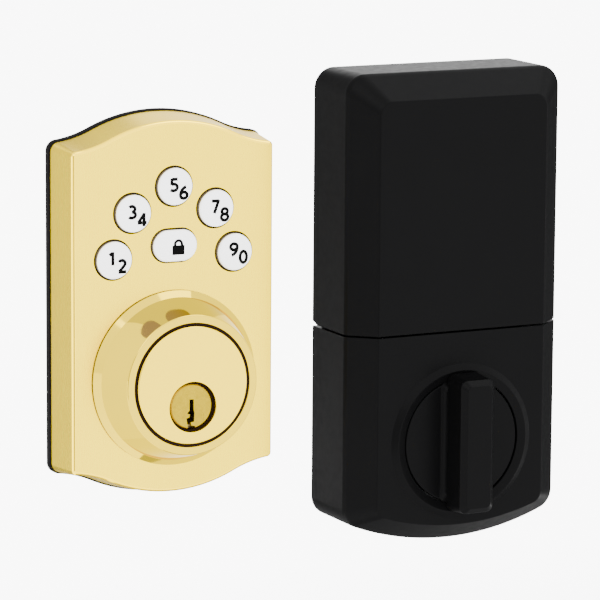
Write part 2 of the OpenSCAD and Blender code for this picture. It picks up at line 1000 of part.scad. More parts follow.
module gear_motor() {
    color(steel)
        on_door(pinion_at)
            difference() {
                union() {
                    intersection() {
                        rod(motor_r, motor_back, gear_plate_back);
                        slab(motor_back - 1, gear_plate_back + 1)
                            square([14, 10.4], center = true);
                    }
                    rod(2.4, motor_back - 0.6, motor_back + 0.5);
                }
                rod(1.06, 9, gear_plate_back + 1);
            }
}

module motor_shaft() {
    color(steel)
        on_door(pinion_at)
            rod(1, 9.4, fine_front);
}

module motor_pinion() {
    color(brass)
        on_door(pinion_at)
            difference() {
                slab(fine_back, fine_front)
                    rotate(180 / pinion_teeth)
                        polygon(gear_points(pinion_teeth, fine_m, 0.12));
                rod(1.02, fine_back - 1, fine_front + 1);
            }
}

module interior_pcb() {
    color(board_green)
        on_door(body_at)
            difference() {
                at([0, 61.5]) slab(board_back, board_front) rounded_rect(62, 77, 2);
                for (x = [-1, 1], z = [26, 98])
                    at([x * 27, z]) rod(1.2, board_back - 1, board_front + 1);
            }
}

module pcb_components() {
    color("#26262a")
        on_door(body_at) {
            at([-12, 60]) slab(board_front, 9) square([9, 9], center = true);
            at([6, 66]) slab(board_front, 8.8) square([6, 5], center = true);
            at([22, 36]) slab(board_front, 9.4) square([8, 6], center = true);
            for (x = [-22:5:-2])
                at([x, 44]) slab(board_front, 8.6) square([2, 3], center = true);
            for (x = [-20, -10])
                at([x, 33]) rod(3, board_front, 11.4);
            // Switch under the program button
            at([-20, 92.5]) slab(board_front, 9) square([6, 6], center = true);
        }
}

module radio_shield() {
    color(steel)
        on_door(body_at)
            at([10, 80])
                slab(board_front, 10)
                    rounded_rect(24, 14, 1);
}

module harness_connectors() {
    color("#f2eee0")
        on_door(body_at)
            for (x = [-16, 3, 20])
                at([x, 26.2])
                    difference() {
                        slab(board_front, 11.6) square([11, 5], center = true);
                        slab(9, 13) square([9.4, 3.4], center = true);
                    }
}

module buzzer() {
    color(black)
        on_door(body_at)
            at([14, 93])
                difference() {
                    rod(5.5, board_front, 11.6);
                    rod(1, 11, 13);
                }
}

module program_button() {
    color("#3a6fb0")
        on_door(program_at)
            union() {
                rod(1.4, 9.8, tray_floor + 1.2);
                rod(program_r, tray_floor + 1, 15.4);
            }
}

module battery_tray() {
    color("#2a2a2c")
        on_door(body_at)
            difference() {
                union() {
                    slab(tray_back, tray_floor)
                        translate([0, 62])
                            rounded_rect(72, 76, 3);
                    for (z = [tray_bottom, tray_top - 1.5])
                        slab(tray_floor - 0.2, 26)
                            translate([0, z + 0.75])
                                square([64, 1.5], center = true);
                    for (x = [-2, 2])
                        slab(tray_floor - 0.2, 21)
                            translate([x * cell_pitch + sign(x) * 1.2, (tray_bottom + tray_top) / 2])
                                square([1.4, tray_top - tray_bottom - 1], center = true);
                    for (x = [-1:1])
                        slab(tray_floor - 0.2, 15.6)
                            translate([x * cell_pitch, (tray_bottom + tray_top) / 2])
                                square([1, 40], center = true);
                }
                at(program_at - body_at) rod(1.6, tray_back - 1, tray_floor + 1);
                for (p = tray_peg_places)
                    at(p) rod(1, tray_back - 1, tray_floor + 1);
            }
}

// Cell i of four, counted from the left; the even ones stand the other way up
function cell_x(i) = (i - 2.5) * cell_pitch;
function cell_up(i) = i % 2 == 1;

module battery_contacts() {
    color(steel)
        on_door(body_at)
            for (i = [1:4], end = [0, 1])
                translate([cell_x(i), end == 0 ? tray_bottom + 1.75 : tray_top - 1.75, cell_depth])
                    cube([11, 0.5, 11], center = true);
}

module battery_springs() {
    color(steel)
        on_door(body_at)
            for (i = [1:4])
                translate([cell_x(i), cell_up(i) ? tray_bottom + 2 : tray_top - 2, cell_depth])
                    rotate([cell_up(i) ? -90 : 90, 0, 0])
                        for (turn = [0:2])
                            translate([0, 0, 0.5 + turn * 0.9])
                                rotate_extrude($fn = 32)
                                    translate([4 - turn * 0.7, 0])
                                        circle(0.44, $fn = 16);
}

module battery(i) {
    up = cell_up(i);
    color("#3a3f45")
        on_door(body_at)
            translate([cell_x(i), up ? cell_bottom : cell_bottom + cell_len + 1.6, cell_depth])
                rotate([up ? -90 : 90, 0, 0])
                    union() {
                        cylinder(r = cell_r, h = cell_len);
                        cylinder(r = 2.6, h = cell_len + 1.4);
                    }
}

exterior_escutcheon();
exterior_gasket();
exterior_backplate();
backplate_screws();
mounting_posts();
cylinder_collar();
cylinder_face();
cylinder_body();
cylinder_screws();
chamber_cap();
key_plug();
key_pins();
driver_pins();
pin_springs();
plug_clip();
torque_blade();
button_round(key_places[0]);  // button_12
button_round(key_places[1]);  // button_34
button_round(key_places[2]);  // button_56
button_round(key_places[3]);  // button_78
button_round(key_places[4]);  // button_90
button_lock();
keypad_mat();
keypad_pcb();
dome_switches();
keypad_bracket();
keypad_screws();
keypad_connector();
interior_mounting_plate();
chassis_screws();
interior_chassis();
lower_cover();
cover_screws();
battery_cover();
thumbturn();
turn_flange();
turn_spindle();
spindle_gear();
position_cam();
position_switches();
idler_gear();
idler_pin();
gear_plate();
gear_plate_screws();
gear_motor();
motor_shaft();
motor_pinion();
interior_pcb();
pcb_components();
radio_shield();
harness_connectors();
buzzer();
program_button();
battery_tray();
battery_contacts();
battery_springs();
battery(1);  // battery_1
battery(2);  // battery_2
battery(3);  // battery_3
battery(4);  // battery_4
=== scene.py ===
"""Looks of the keypad deadbolt lock: the keypad unit and the thumb-turn unit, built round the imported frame.

Shapes are written in millimetres as (x, depth, z), where depth is the distance in front of the door plane.
"""
import math

import bmesh
import bpy
from mathutils import Matrix, Vector


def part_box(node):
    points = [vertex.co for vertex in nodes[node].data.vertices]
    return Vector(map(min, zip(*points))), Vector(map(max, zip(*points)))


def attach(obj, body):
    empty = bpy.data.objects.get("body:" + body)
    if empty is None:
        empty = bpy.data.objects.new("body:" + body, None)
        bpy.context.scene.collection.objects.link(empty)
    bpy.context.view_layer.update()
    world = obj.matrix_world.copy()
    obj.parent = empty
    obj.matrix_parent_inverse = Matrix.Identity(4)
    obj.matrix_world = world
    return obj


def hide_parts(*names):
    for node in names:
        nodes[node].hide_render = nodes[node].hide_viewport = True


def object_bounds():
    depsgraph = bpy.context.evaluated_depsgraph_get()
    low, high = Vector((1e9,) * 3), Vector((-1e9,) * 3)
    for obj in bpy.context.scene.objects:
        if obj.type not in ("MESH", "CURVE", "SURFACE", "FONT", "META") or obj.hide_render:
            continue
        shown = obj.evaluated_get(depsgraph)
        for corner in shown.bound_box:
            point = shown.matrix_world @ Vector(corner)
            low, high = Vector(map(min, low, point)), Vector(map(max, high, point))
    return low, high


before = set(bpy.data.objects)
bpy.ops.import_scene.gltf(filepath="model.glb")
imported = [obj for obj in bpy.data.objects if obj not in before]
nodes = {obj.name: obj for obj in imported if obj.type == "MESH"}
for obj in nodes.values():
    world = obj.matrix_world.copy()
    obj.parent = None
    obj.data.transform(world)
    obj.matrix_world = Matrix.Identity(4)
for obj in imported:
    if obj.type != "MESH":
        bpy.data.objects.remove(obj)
cad_low, cad_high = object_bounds()
MM = 0.001


# ---------------------------------------------------------------- mesh helpers

class Box:
    """A CAD node's box in millimetres, with depth in place of -y."""

    def __init__(self, node):
        low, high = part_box(node)
        self.x0, self.x1 = low.x / MM, high.x / MM
        self.z0, self.z1 = low.z / MM, high.z / MM
        self.back, self.front = -high.y / MM, -low.y / MM
        self.x, self.z = (self.x0 + self.x1) / 2, (self.z0 + self.z1) / 2
        self.w, self.h = self.x1 - self.x0, self.z1 - self.z0


def point(x, depth, z):
    return Vector((x * MM, -depth * MM, z * MM))


def new_object(name, data):
    obj = bpy.data.objects.new(name, data)
    bpy.context.scene.collection.objects.link(obj)
    return obj


def new_mesh(name, verts, faces):
    mesh = bpy.data.meshes.new(name)
    mesh.from_pydata([point(*v) for v in verts], [], faces)
    bm = bmesh.new()
    bm.from_mesh(mesh)
    bmesh.ops.recalc_face_normals(bm, faces=bm.faces)
    bm.to_mesh(mesh)
    bm.free()
    return new_object(name, mesh)


def loft(name, rings, closed=False):
    """Quads between rings of equal length; an open loft gets a flat cap at each end."""
    count = len(rings[0])
    verts = [v for one in rings for v in one]
    faces = []
    spans = len(rings) if closed else len(rings) - 1
    for k in range(spans):
        a = k * count
        b = (k + 1) % len(rings) * count
        for i in range(count):
            j = (i + 1) % count
            faces.append((a + i, a + j, b + j, b + i))
    if not closed:
        faces.append(tuple(range(count)))
        faces.append(tuple(range((len(rings) - 1) * count, len(rings) * count)))
    return new_mesh(name, verts, faces)


def circle(x, z, r, steps=96):
    return [(x + r * math.cos(2 * math.pi * i / steps), z + r * math.sin(2 * math.pi * i / steps))
            for i in range(steps)]


def arc(cx, cz, r, start, end, steps):
    return [(cx + r * math.cos(start + (end - start) * i / steps),
             cz + r * math.sin(start + (end - start) * i / steps)) for i in range(steps + 1)]


def rectangle(x0, z0, x1, z1):
    return [(x0, z0), (x1, z0), (x1, z1), (x0, z1)]


def ring(outline, depth):
    """A flat outline placed at a depth."""
    return [(x, depth, z) for x, z in outline]


def lathe(name, profile, x, z, *, steps, closed=False):
    """Turns a profile of (radius, depth) points about the axis through (x, z)."""
    return loft(name, [ring(circle(x, z, r, steps), depth) for r, depth in profile], closed)


def prism(name, outline, back, front):
    return loft(name, [ring(outline, back), ring(outline, front)])


def fillet(points, radii, steps):
    """Rounds the corners of an open line of 2D points; radii has one value per point."""
    out = []
    for i, (p, r) in enumerate(zip(points, radii)):
        if r == 0 or i in (0, len(points) - 1):
            out.append(tuple(p))
            continue
        corner = Vector(p)
        a = (Vector(points[i - 1]) - corner).normalized()
        b = (Vector(points[i + 1]) - corner).normalized()
        half = a.angle(b) / 2
        middle = corner + (a + b).normalized() * (r / math.sin(half))
        start = corner + a * (r / math.tan(half)) - middle
        end = corner + b * (r / math.tan(half)) - middle
        turn = math.pi - 2 * half
        for k in range(steps + 1):
            t = k / steps
            v = (start * math.sin((1 - t) * turn) + end * math.sin(t * turn)) / math.sin(turn)
            out.append(tuple(middle + v))
    return out


def round_loop(points, radii, steps):
    """Rounds every corner of a closed outline."""
    n = len(points)
    out = []
    for i in range(n):
        trio = [points[i - 1], points[i], points[(i + 1) % n]]
        out += fillet(trio, [0, radii[i], 0], steps)[1:-1]
    return out


def apply_modifiers(obj):
    depsgraph = bpy.context.evaluated_depsgraph_get()
    mesh = bpy.data.meshes.new_from_object(obj.evaluated_get(depsgraph))
    obj.modifiers.clear()
    old = obj.data
    obj.data = mesh
    bpy.data.meshes.remove(old)


def boolean(obj, tool, operation="DIFFERENCE"):
    modifier = obj.modifiers.new("boolean", "BOOLEAN")
    modifier.operation = operation
    modifier.solver = "EXACT"
    modifier.object = tool
    bpy.context.view_layer.update()
    apply_modifiers(obj)
    bpy.data.objects.remove(tool)
    return obj


def join(obj, other):
    """Adds the other object's mesh to obj as a loose part."""
    bm = bmesh.new()
    bm.from_mesh(obj.data)
    bm.from_mesh(other.data)
    bm.to_mesh(obj.data)
    bm.free()
    bpy.data.objects.remove(other)


def soften(obj, width=0.0, segments=2, angle=40):
    """Smooth shading with flat faces kept flat, and a small bevel on the sharp edges."""
    for polygon in obj.data.polygons:
        polygon.use_smooth = True
    if width:
        bevel = obj.modifiers.new("edge", "BEVEL")
        bevel.width = width * MM
        bevel.segments = segments
        bevel.limit_method = "ANGLE"
        bevel.angle_limit = math.radians(angle)
        bevel.miter_outer = "MITER_ARC"
        bevel.use_clamp_overlap = True
    else:
        obj.data.set_sharp_from_angle(angle=math.radians(angle))
    normals = obj.modifiers.new("normals", "WEIGHTED_NORMAL")
    normals.keep_sharp = True
    normals.weight = 80


def dress(obj, mat, body, *stands_for, slot):
    """Material, body, the CAD nodes the piece stands for, and its material slot, which is not used."""
    obj.data.materials.clear()
    obj.data.materials.append(mat)
    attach(obj, body)
    if stands_for:
        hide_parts(*stands_for)


# ---------------------------------------------------------------- materials

class Shader:
    """A small builder for one Principled material with object-space noise."""

    def __init__(self, name, colour, roughness, metallic=0.0, specular=0.5):
        self.mat = bpy.data.materials.new(name)
        self.mat.use_nodes = True
        self.tree = self.mat.node_tree
        self.bsdf = self.tree.nodes["Principled BSDF"]
        self.bsdf.inputs["Base Color"].default_value = (*colour, 1)
        self.bsdf.inputs["Roughness"].default_value = roughness
        self.bsdf.inputs["Metallic"].default_value = metallic
        self.bsdf.inputs["Specular IOR Level"].default_value = specular
        self.coords = self.tree.nodes.new("ShaderNodeTexCoord").outputs["Object"]
        self.normal = None

    def node(self, kind, **settings):
        made = self.tree.nodes.new(kind)
        for key, value in settings.items():
            if isinstance(value, bpy.types.NodeSocket):
                self.tree.links.new(value, made.inputs[key])
            elif key in made.inputs:
                made.inputs[key].default_value = value
            else:
                setattr(made, key, value)
        return made

    def link(self, output, socket):
        self.tree.links.new(output, self.bsdf.inputs[socket])

    def stretched(self, scale):
        """Object coordinates scaled per axis, in features per metre."""
        return self.node("ShaderNodeMapping", Vector=self.coords, Scale=scale).outputs["Vector"]

    def noise(self, scale, detail=3.0, roughness=0.55, stretch=None):
        vector = self.stretched(stretch) if stretch else self.coords
        return self.node("ShaderNodeTexNoise", Vector=vector, Scale=scale, Detail=detail,
                         Roughness=roughness).outputs["Fac"]

    def remap(self, value, low, high, from_low=0.3, from_high=0.7):
        made = self.node("ShaderNodeMapRange", Value=value)
        made.inputs["From Min"].default_value = from_low
        made.inputs["From Max"].default_value = from_high
        made.inputs["To Min"].default_value = low
        made.inputs["To Max"].default_value = high
        return made.outputs["Result"]

    def colour(self, factor, first, second):
        """Base colour between two colours."""
        mix = self.node("ShaderNodeMix", data_type="RGBA")
        self.tree.links.new(factor, mix.inputs["Factor"])
        for socket, value in (("A", first), ("B", second)):
            entry = [i for i in mix.inputs if i.name == socket and i.type == "RGBA"][0]
            entry.default_value = (*value, 1)
        self.link([o for o in mix.outputs if o.type == "RGBA"][0], "Base Color")

    def rough(self, value, low, high):
        self.link(self.remap(value, low, high), "Roughness")

    def bump(self, height, strength, distance):
        """Adds a bump to the ones before it; distance is in millimetres."""
        made = self.node("ShaderNodeBump", Height=height, Strength=strength, Distance=distance * MM)
        if self.normal is not None:
            self.tree.links.new(self.normal, made.inputs["Normal"])
        self.normal = made.outputs["Normal"]
        self.link(self.normal, "Normal")


# Keep gold from turning white at grazing angles
POLISHED_EDGE_TINT = (1.0, 0.86, 0.42, 1.0)
SATIN_EDGE_TINT = (1.0, 0.95, 0.85, 1.0)


def tinted(colour, gain):
    return tuple(min(1.0, c * gain) for c in colour)


def satin_gold(name, colour, roughness, grain):
    """Plated zinc with a fine satin grain; grain is the stretch of the brushing per axis."""
    s = Shader(name, colour, roughness, metallic=1.0)
    s.bsdf.inputs["Specular Tint"].default_value = SATIN_EDGE_TINT
    brushed = s.noise(1.0, 4.0, 0.6, stretch=grain)
    cloud = s.noise(38.0, 3.0)
    s.colour(cloud, tinted(colour, 0.97), tinted(colour, 1.03))
    s.rough(brushed, roughness - 0.035, roughness + 0.035)
    s.bump(brushed, 0.035, 0.02)
    s.bump(s.noise(5200.0, 2.0), 0.03, 0.01)
    return s.mat


def polished_gold(name, colour, roughness):
    """Buffed plating, with a faint haze in its colour and its shine."""
    s = Shader(name, colour, roughness, metallic=1.0)
    s.bsdf.inputs["Specular Tint"].default_value = POLISHED_EDGE_TINT
    cloud = s.noise(60.0, 4.0)
    s.colour(cloud, tinted(colour, 0.96), tinted(colour, 1.04))
    s.rough(s.noise(260.0, 5.0), roughness - 0.025, roughness + 0.025)
    s.bump(s.noise(900.0, 3.0), 0.012, 0.01)
    return s.mat


def machined_brass(name, colour):
    """Bare brass, spotted by handling and finely scored by the tool."""
    s = Shader(name, colour, 0.32, metallic=1.0)
    spots = s.noise(900.0, 6.0, 0.7)
    s.colour(spots, tinted(colour, 0.6), tinted(colour, 1.2))
    s.rough(s.noise(700.0, 5.0), 0.26, 0.42)
    s.bump(s.noise(2600.0, 4.0), 0.12, 0.02)
    return s.mat


def plated_steel(name, colour, roughness=0.3):
    """Zinc-plated steel: cool, faintly clouded, with fine rolling lines."""
    s = Shader(name, colour, roughness, metallic=1.0)
    cloud = s.noise(120.0, 5.0, 0.6)
    warm = (colour[0] * 1.04, colour[1], colour[2] * 0.9)
    s.colour(cloud, tinted(colour, 0.86), warm)
    s.rough(s.noise(1.0, 3.0, stretch=(260, 260, 2600)), roughness - 0.06, roughness + 0.1)
    s.bump(s.noise(3000.0, 3.0), 0.06, 0.02)
    return s.mat


def moulded(name, colour, roughness, specular, texture, scale, variation):
    """Moulded plastic or paint with a fine spark texture and a faint cloud in its colour."""
    s = Shader(name, colour, roughness, specular=specular)
    s.colour(s.noise(70.0, 4.0), tinted(colour, 1 - variation), tinted(colour, 1 + variation))
    s.rough(s.noise(500.0, 4.0), roughness - 0.05, roughness + 0.05)
    s.bump(s.noise(scale, 3.0), texture, 0.03)
    return s.mat


def rubber(name, colour):
    """Matt rubber with a slightly uneven skin."""
    s = Shader(name, colour, 0.62, specular=0.03)
    s.colour(s.noise(200.0, 4.0), tinted(colour, 0.8), tinted(colour, 1.25))
    s.bump(s.noise(1800.0, 5.0), 0.15, 0.05)
    return s.mat


def circuit_board(name, mask_colour, trace_colour):
    """Solder mask over copper, with the traces along the joints of a brick pattern."""
    s = Shader(name, mask_colour, 0.28)
    upright = s.node("ShaderNodeMapping", Vector=s.coords, Rotation=(math.radians(90), 0, 0))
    cells = s.node("ShaderNodeTexBrick", Vector=upright.outputs["Vector"], Scale=260.0)
    cells.inputs["Color1"].default_value = (0, 0, 0, 1)
    cells.inputs["Color2"].default_value = (0.25, 0.25, 0.25, 1)
    cells.inputs["Mortar"].default_value = (1, 1, 1, 1)
    cells.inputs["Mortar Size"].default_value = 0.03
    brightness = s.node("ShaderNodeRGBToBW", Color=cells.outputs["Color"]).outputs["Val"]
    traces = s.remap(brightness, 0, 1, 0.3, 0.8)
    s.colour(traces, mask_colour, trace_colour)
    s.bump(traces, 0.25, 0.03)
    return s.mat


def battery_sleeve(name, sleeve_colour, band_colour, band_low, band_high):
    """A printed sleeve with a band in a second colour between two heights, in metres."""
    s = Shader(name, sleeve_colour, 0.25, metallic=0.35)
    height = s.node("ShaderNodeSeparateXYZ", Vector=s.coords).outputs["Z"]
    fade = 0.0002
    above = s.remap(height, 0, 1, band_low, band_low + fade)
    below = s.remap(height, 1, 0, band_high, band_high + fade)
    band = s.node("ShaderNodeMath", operation="MULTIPLY")
    s.tree.links.new(above, band.inputs[0])
    s.tree.links.new(below, band.inputs[1])
    s.colour(band.outputs[0], sleeve_colour, band_colour)
    s.rough(s.noise(400.0, 4.0), 0.2, 0.32)
    s.bump(s.noise(900.0, 3.0), 0.03, 0.02)
    return s.mat


body_gold = satin_gold("satin_gold", (0.81, 0.582, 0.003), 0.27, (2600, 2600, 140))
face_gold = satin_gold("satin_face_gold", (0.81, 0.575, 0.008), 0.24, (2200, 2200, 160))
mirror_gold = polished_gold("polished_gold", (0.60, 0.425, 0.009), 0.08)
edge_gold = polished_gold("burnished_gold", (0.95, 0.66, 0.006), 0.08)
plug_brass = machined_brass("plug_brass", (0.33, 0.23, 0.003))
raw_brass = machined_brass("raw_brass", (0.78, 0.6, 0.28))
zinc = plated_steel("zinc_plated_steel", (0.40, 0.41, 0.43))
bright_steel = plated_steel("spring_steel", (0.5, 0.5, 0.5), 0.22)
white_cap = moulded("button_white", (0.89, 0.89, 0.905), 0.35, 0.5, 0.03, 1500.0, 0.02)
print_black = moulded("print_black", (0.001, 0.001, 0.001), 0.5, 0.02, 0.02, 3000.0, 0.2)
gasket_black = rubber("gasket_black", (0.003, 0.0026, 0.0026))
mat_grey = rubber("silicone_grey", (0.12, 0.12, 0.12))
# Painted shade: the brown on the button caps' sides stands for the shadow inside the gaps round the caps
skirt_painted_shade = rubber("skirt_painted_shade", (0.10, 0.078, 0.045))
# Painted shade: the black of the thin rings in the round gaps stands for the shadow inside them
gap_ring_painted_shade = rubber("gap_ring_painted_shade", (0.007, 0.003, 0.0015))
housing = moulded("housing_black", (0.0016, 0.0016, 0.0017), 0.36, 0.024, 0.10, 3600.0, 0.1)
inner = moulded("inner_black", (0.018, 0.018, 0.019), 0.5, 0.35, 0.08, 1800.0, 0.12)
nylon = moulded("nylon_white", (0.72, 0.70, 0.63), 0.45, 0.4, 0.05, 1400.0, 0.05)
component = moulded("component_black", (0.02, 0.02, 0.022), 0.4, 0.4, 0.05, 2400.0, 0.1)
blue = moulded("button_blue", (0.03, 0.12, 0.4), 0.4, 0.45, 0.04, 1500.0, 0.06)
board = circuit_board("circuit_green", (0.008, 0.09, 0.03), (0.03, 0.2, 0.07))

# ---------------------------------------------------------------- outlines

shell = Box("exterior_escutcheon")
gasket = Box("exterior_gasket")
lower = Box("lower_cover")
cover = Box("battery_cover")
collar = Box("cylinder_collar")
face = Box("cylinder_face")
plug = Box("key_plug")
turn = Box("thumbturn")

# The shell's sides lean in by the draft between the door and the front; the other sizes are the front's
DRAFT = 1.9
ESC_MID_Z = shell.z
ESC_HALF_W = shell.w / 2 - DRAFT
ESC_HALF_H = shell.h / 2 - DRAFT
CROWN_H = 8.7
CROWN_R = 52.0
SHOULDER_X = 39.0
SHOULDER_R = (SHOULDER_X ** 2 + CROWN_H ** 2) / (2 * CROWN_H) - CROWN_R
ESC_CORNER_R = 1.4
FRONT_EDGE_R = 1.1


def escutcheon_outline(grow):
    """Corner, hollow shoulder and crown for one quarter, mirrored to all four."""
    crown_z = ESC_HALF_H - CROWN_R
    shoulder_z = ESC_HALF_H - CROWN_H + SHOULDER_R
    shoulder_r = SHOULDER_R - grow
    corner_r = ESC_CORNER_R + max(grow, -1)
    corner_x = ESC_HALF_W + grow - corner_r
    rise = math.sqrt((shoulder_r + corner_r) ** 2 - (SHOULDER_X - corner_x) ** 2)
    corner_z = shoulder_z - rise
    corner_end = math.atan2(rise, SHOULDER_X - corner_x)
    joint = math.atan2(shoulder_z - crown_z, SHOULDER_X)
    quarter = arc(corner_x, corner_z, corner_r, 0, corner_end, 12)
    quarter += arc(SHOULDER_X, shoulder_z, shoulder_r, corner_end - math.pi, joint - math.pi, 16)[1:]
    quarter += arc(0, crown_z, CROWN_R + grow, joint, math.pi / 2, 18)[1:]
    half = quarter + [(-x, z) for x, z in reversed(quarter[:-1])]
    whole = half + [(x, -z) for x, z in reversed(half)]
    return [(x, z + ESC_MID_Z) for x, z in whole]


# The thumb-turn unit's block: a bevel runs round its front, narrower at the bowed lower end
BEVEL_W = 8.6
BEVEL_BOW = 6.3
SIDE_DEPTH = 23.9
FACE_DEPTH = cover.front
BOW_R = 95.0
BODY_CORNER_R = 7.0
FACE_CORNER_R = 4.5
BODY_X = lower.x
BODY_HALF_W = lower.w / 2
BODY_TOP = cover.z1
BODY_BOTTOM = lower.z0
SEAM_LOW = lower.z1
SEAM_HIGH = cover.z0


def body_outline(half_w, top, bottom, bow, corner):
    """Straight sides, rounded corners and a bowed lower end."""
    bow_z = bottom + bow
    corner_x = half_w - corner
    corner_z = bow_z - math.sqrt((bow - corner) ** 2 - corner_x ** 2)
    corner_end = math.atan2(corner_z - bow_z, corner_x)
    right = arc(corner_x, top - corner, corner, math.pi / 2, 0, 12)
    right += [(half_w, top + (corner_z - top) * k / 12) for k in range(2, 12)]
    right += arc(corner_x, corner_z, corner, 0, corner_end, 12)
    right += arc(0, bow_z, bow, corner_end, -math.pi / 2, 20)[1:]
    left = [(-x, z) for x, z in reversed(right[:-1])]
    return [(BODY_X + x, z) for x, z in right + left]


OUTER = body_outline(BODY_HALF_W, BODY_TOP, BODY_BOTTOM, BOW_R, BODY_CORNER_R)
FRONT = body_outline(BODY_HALF_W - BEVEL_W, BODY_TOP - BEVEL_W, BODY_BOTTOM + BEVEL_BOW,
                     BOW_R - BEVEL_BOW, FACE_CORNER_R)


def body_ring(depth, inset):
    """The outline at a depth, drawn in by inset millimetres of the bevel's width."""
    t = inset / BEVEL_W
    return [(a[0] + (b[0] - a[0]) * t, depth, a[1] + (b[1] - a[1]) * t) for a, b in zip(OUTER, FRONT)]


def body_block(name, profile):
    return loft(name, [body_ring(depth, inset) for depth, inset in profile])


# ---------------------------------------------------------------- keypad unit

BUTTONS = {"button_12": "12", "button_34": "34", "button_56": "56", "button_78": "78", "button_90": "90"}
HOLE_R = 6.7
HOLE_STEPS = 128
CAP_R = 6.05
LOCK_HOLE = (16.4, 11.3)
LOCK_GAP = 0.5
COLLAR_BORE_R = 20.2
COLLAR_GAP = 0.5
PLUG_HOLE_R = 8.2
PLUG_AXIS = (0.0, 0.0)


def stadium(x, z, w, h):
    right = arc(x + (w - h) / 2, z, h / 2, -math.pi / 2, math.pi / 2, 24)
    return right + [(2 * x - px, 2 * z - pz) for px, pz in right]


def make_escutcheon():
    """The drafted cast shell, with a rounded front edge and softly broken holes."""
    profile = fillet(
        [(shell.back, DRAFT - 0.5), (shell.back, DRAFT), (shell.front, 0), (shell.front, -3)],
        [0, 0.3, FRONT_EDGE_R, 0], 6)
    body = loft("escutcheon_shell", [ring(escutcheon_outline(grow), d) for d, grow in profile])
    wall = 2.5
    boolean(body, prism("cavity", escutcheon_outline(-wall), shell.back - 1, shell.front - wall))
    lock = Box("button_lock")
    holes = [circle(b.x, b.z, HOLE_R, HOLE_STEPS) for b in map(Box, BUTTONS)]
    holes += [stadium(lock.x, lock.z, *LOCK_HOLE), circle(collar.x, collar.z, COLLAR_BORE_R, HOLE_STEPS)]
    for outline in holes:
        boolean(body, prism("hole", outline, shell.back, shell.front + 1))
    soften(body, 0.22, 3, 45)
    dress(body, body_gold, "root", "exterior_escutcheon", slot="gold_body")
    # The rounded front edge is burnished
    body.data.materials.append(edge_gold)
    for polygon in body.data.polygons:
        if shell.front - FRONT_EDGE_R < -polygon.center.y / MM < shell.front - 0.005:
            polygon.material_index = 1


def make_gasket():
    """The rubber ring behind the shell, with rounded outer edges."""
    hole, rim = -0.6, gasket.w / 2 - ESC_HALF_W
    loop = round_loop(
        [(gasket.back, hole), (gasket.back, rim), (gasket.front, rim), (gasket.front, hole)],
        [0.2, 0.5, 0.5, 0.2], 4)
    body = loft("door_gasket", [ring(escutcheon_outline(grow), d) for d, grow in loop], closed=True)
    soften(body, angle=50)
    dress(body, gasket_black, "root", "exterior_gasket", slot="gasket_black")


def make_collar():
    """The polished tapered guard round the cylinder."""
    base_r = collar.w / 2
    rim_r = 22.8
    back, front = collar.back + COLLAR_GAP, collar.front
    loop = round_loop(
        [(COLLAR_BORE_R, back), (base_r, back), (base_r, back + 0.3), (base_r - 2.05, back + 2.2),
         (rim_r, front), (COLLAR_BORE_R, front)],
        [0.15, 0.1, 0.2, 0.35, 0.55, 0.25], 5)
    body = lathe("cylinder_guard", loop, collar.x, collar.z, closed=True, steps=192)
    soften(body, angle=60)
    dress(body, mirror_gold, "root", "cylinder_collar", slot="gold_polished")


def make_face():
    """The cylinder's round face, with the plug's hole through it."""
    r = face.w / 2
    profile = fillet([(r - 1, face.back), (r, face.back), (r, face.front), (r - 3, face.front)],
                     [0, 0.2, 0.45, 0], 5)
    body = lathe("cylinder_front", profile, face.x, face.z, steps=192)
    boolean(body, prism("hole", circle(*PLUG_AXIS, PLUG_HOLE_R, HOLE_STEPS), face.back - 1, face.front + 1))
    soften(body, 0.25, 3, 45)
    dress(body, face_gold, "root", "cylinder_face", slot="gold_face")


# The keyway's outline, from its upper left corner round the wards
KEYWAY = [(-0.7, 2.3), (0.75, 2.3), (0.75, -1.2), (1.05, -2.1), (0.9, -5.0), (-0.3, -5.2), (-0.1, -6.2),
          (1.3, -6.5), (1.3, -8.5), (-1.0, -8.5), (-1.8, -3.8), (-0.7, -3.5), (-0.5, -2.6), (-1.55, -2.2),
          (-0.7, -1.2)]


def make_plug():
    """The key plug: chamfered head, warded keyway, a sidebar pin's faint circle and the slotted tail."""
    head_r, body_r, tail_r = plug.w / 2, 6.5, 3.2
    tail_front, head_back = 5.4, 27.7
    chamfer = 0.55
    profile = fillet(
        [(tail_r - 0.6, plug.back), (tail_r, plug.back), (tail_r, tail_front), (body_r, tail_front),
         (body_r, head_back), (head_r, head_back), (head_r, plug.front - chamfer),
         (head_r - chamfer, plug.front), (head_r - 3, plug.front)],
        [0, 0.2, 0, 0.2, 0, 0.2, 0.15, 0.15, 0], 3)
    body = lathe("key_plug_front", profile, *PLUG_AXIS, steps=128)
    keyway_back = 7
    boolean(body, prism("slot", KEYWAY, keyway_back, plug.front + 1))
    pin_at = (1.75, -3.9)
    above, floor_at = plug.front + 0.5, plug.front - 0.05
    groove = [(2.5, above), (2.62, floor_at), (2.68, floor_at), (2.8, above)]
    boolean(body, lathe("groove", groove, *pin_at, closed=True, steps=64))
    # The slot in the tail that takes the torque blade
    boolean(body, prism("slot", rectangle(-2.55, -0.65, 2.55, 0.65), 0, tail_front + 0.5))
    soften(body, 0.1, 2, 40)
    dress(body, plug_brass, "key_plug", "key_plug", slot="plug_brass")


# The dome falls from the middle of the cap to its rounded rim; the skin is how far a print stands out
CAP_ROUND = 0.8
CAP_DOME = 0.12
SKIN = 0.02
FLANGE_BACK = 13.0
FLANGE_FRONT = 14.0
FLANGE_LIP = 1.1
STEM_R = 1.8


def cap_profile(box, radius, grow=0.0):
    """From the flange to the cap's gently domed front."""
    front = box.front + grow
    return fillet([(radius + grow, FLANGE_FRONT), (radius + grow, shell.front - 0.2),
                   (radius + grow, front - CAP_DOME), (0.4, front)], [0, 0, CAP_ROUND, 0], 8)


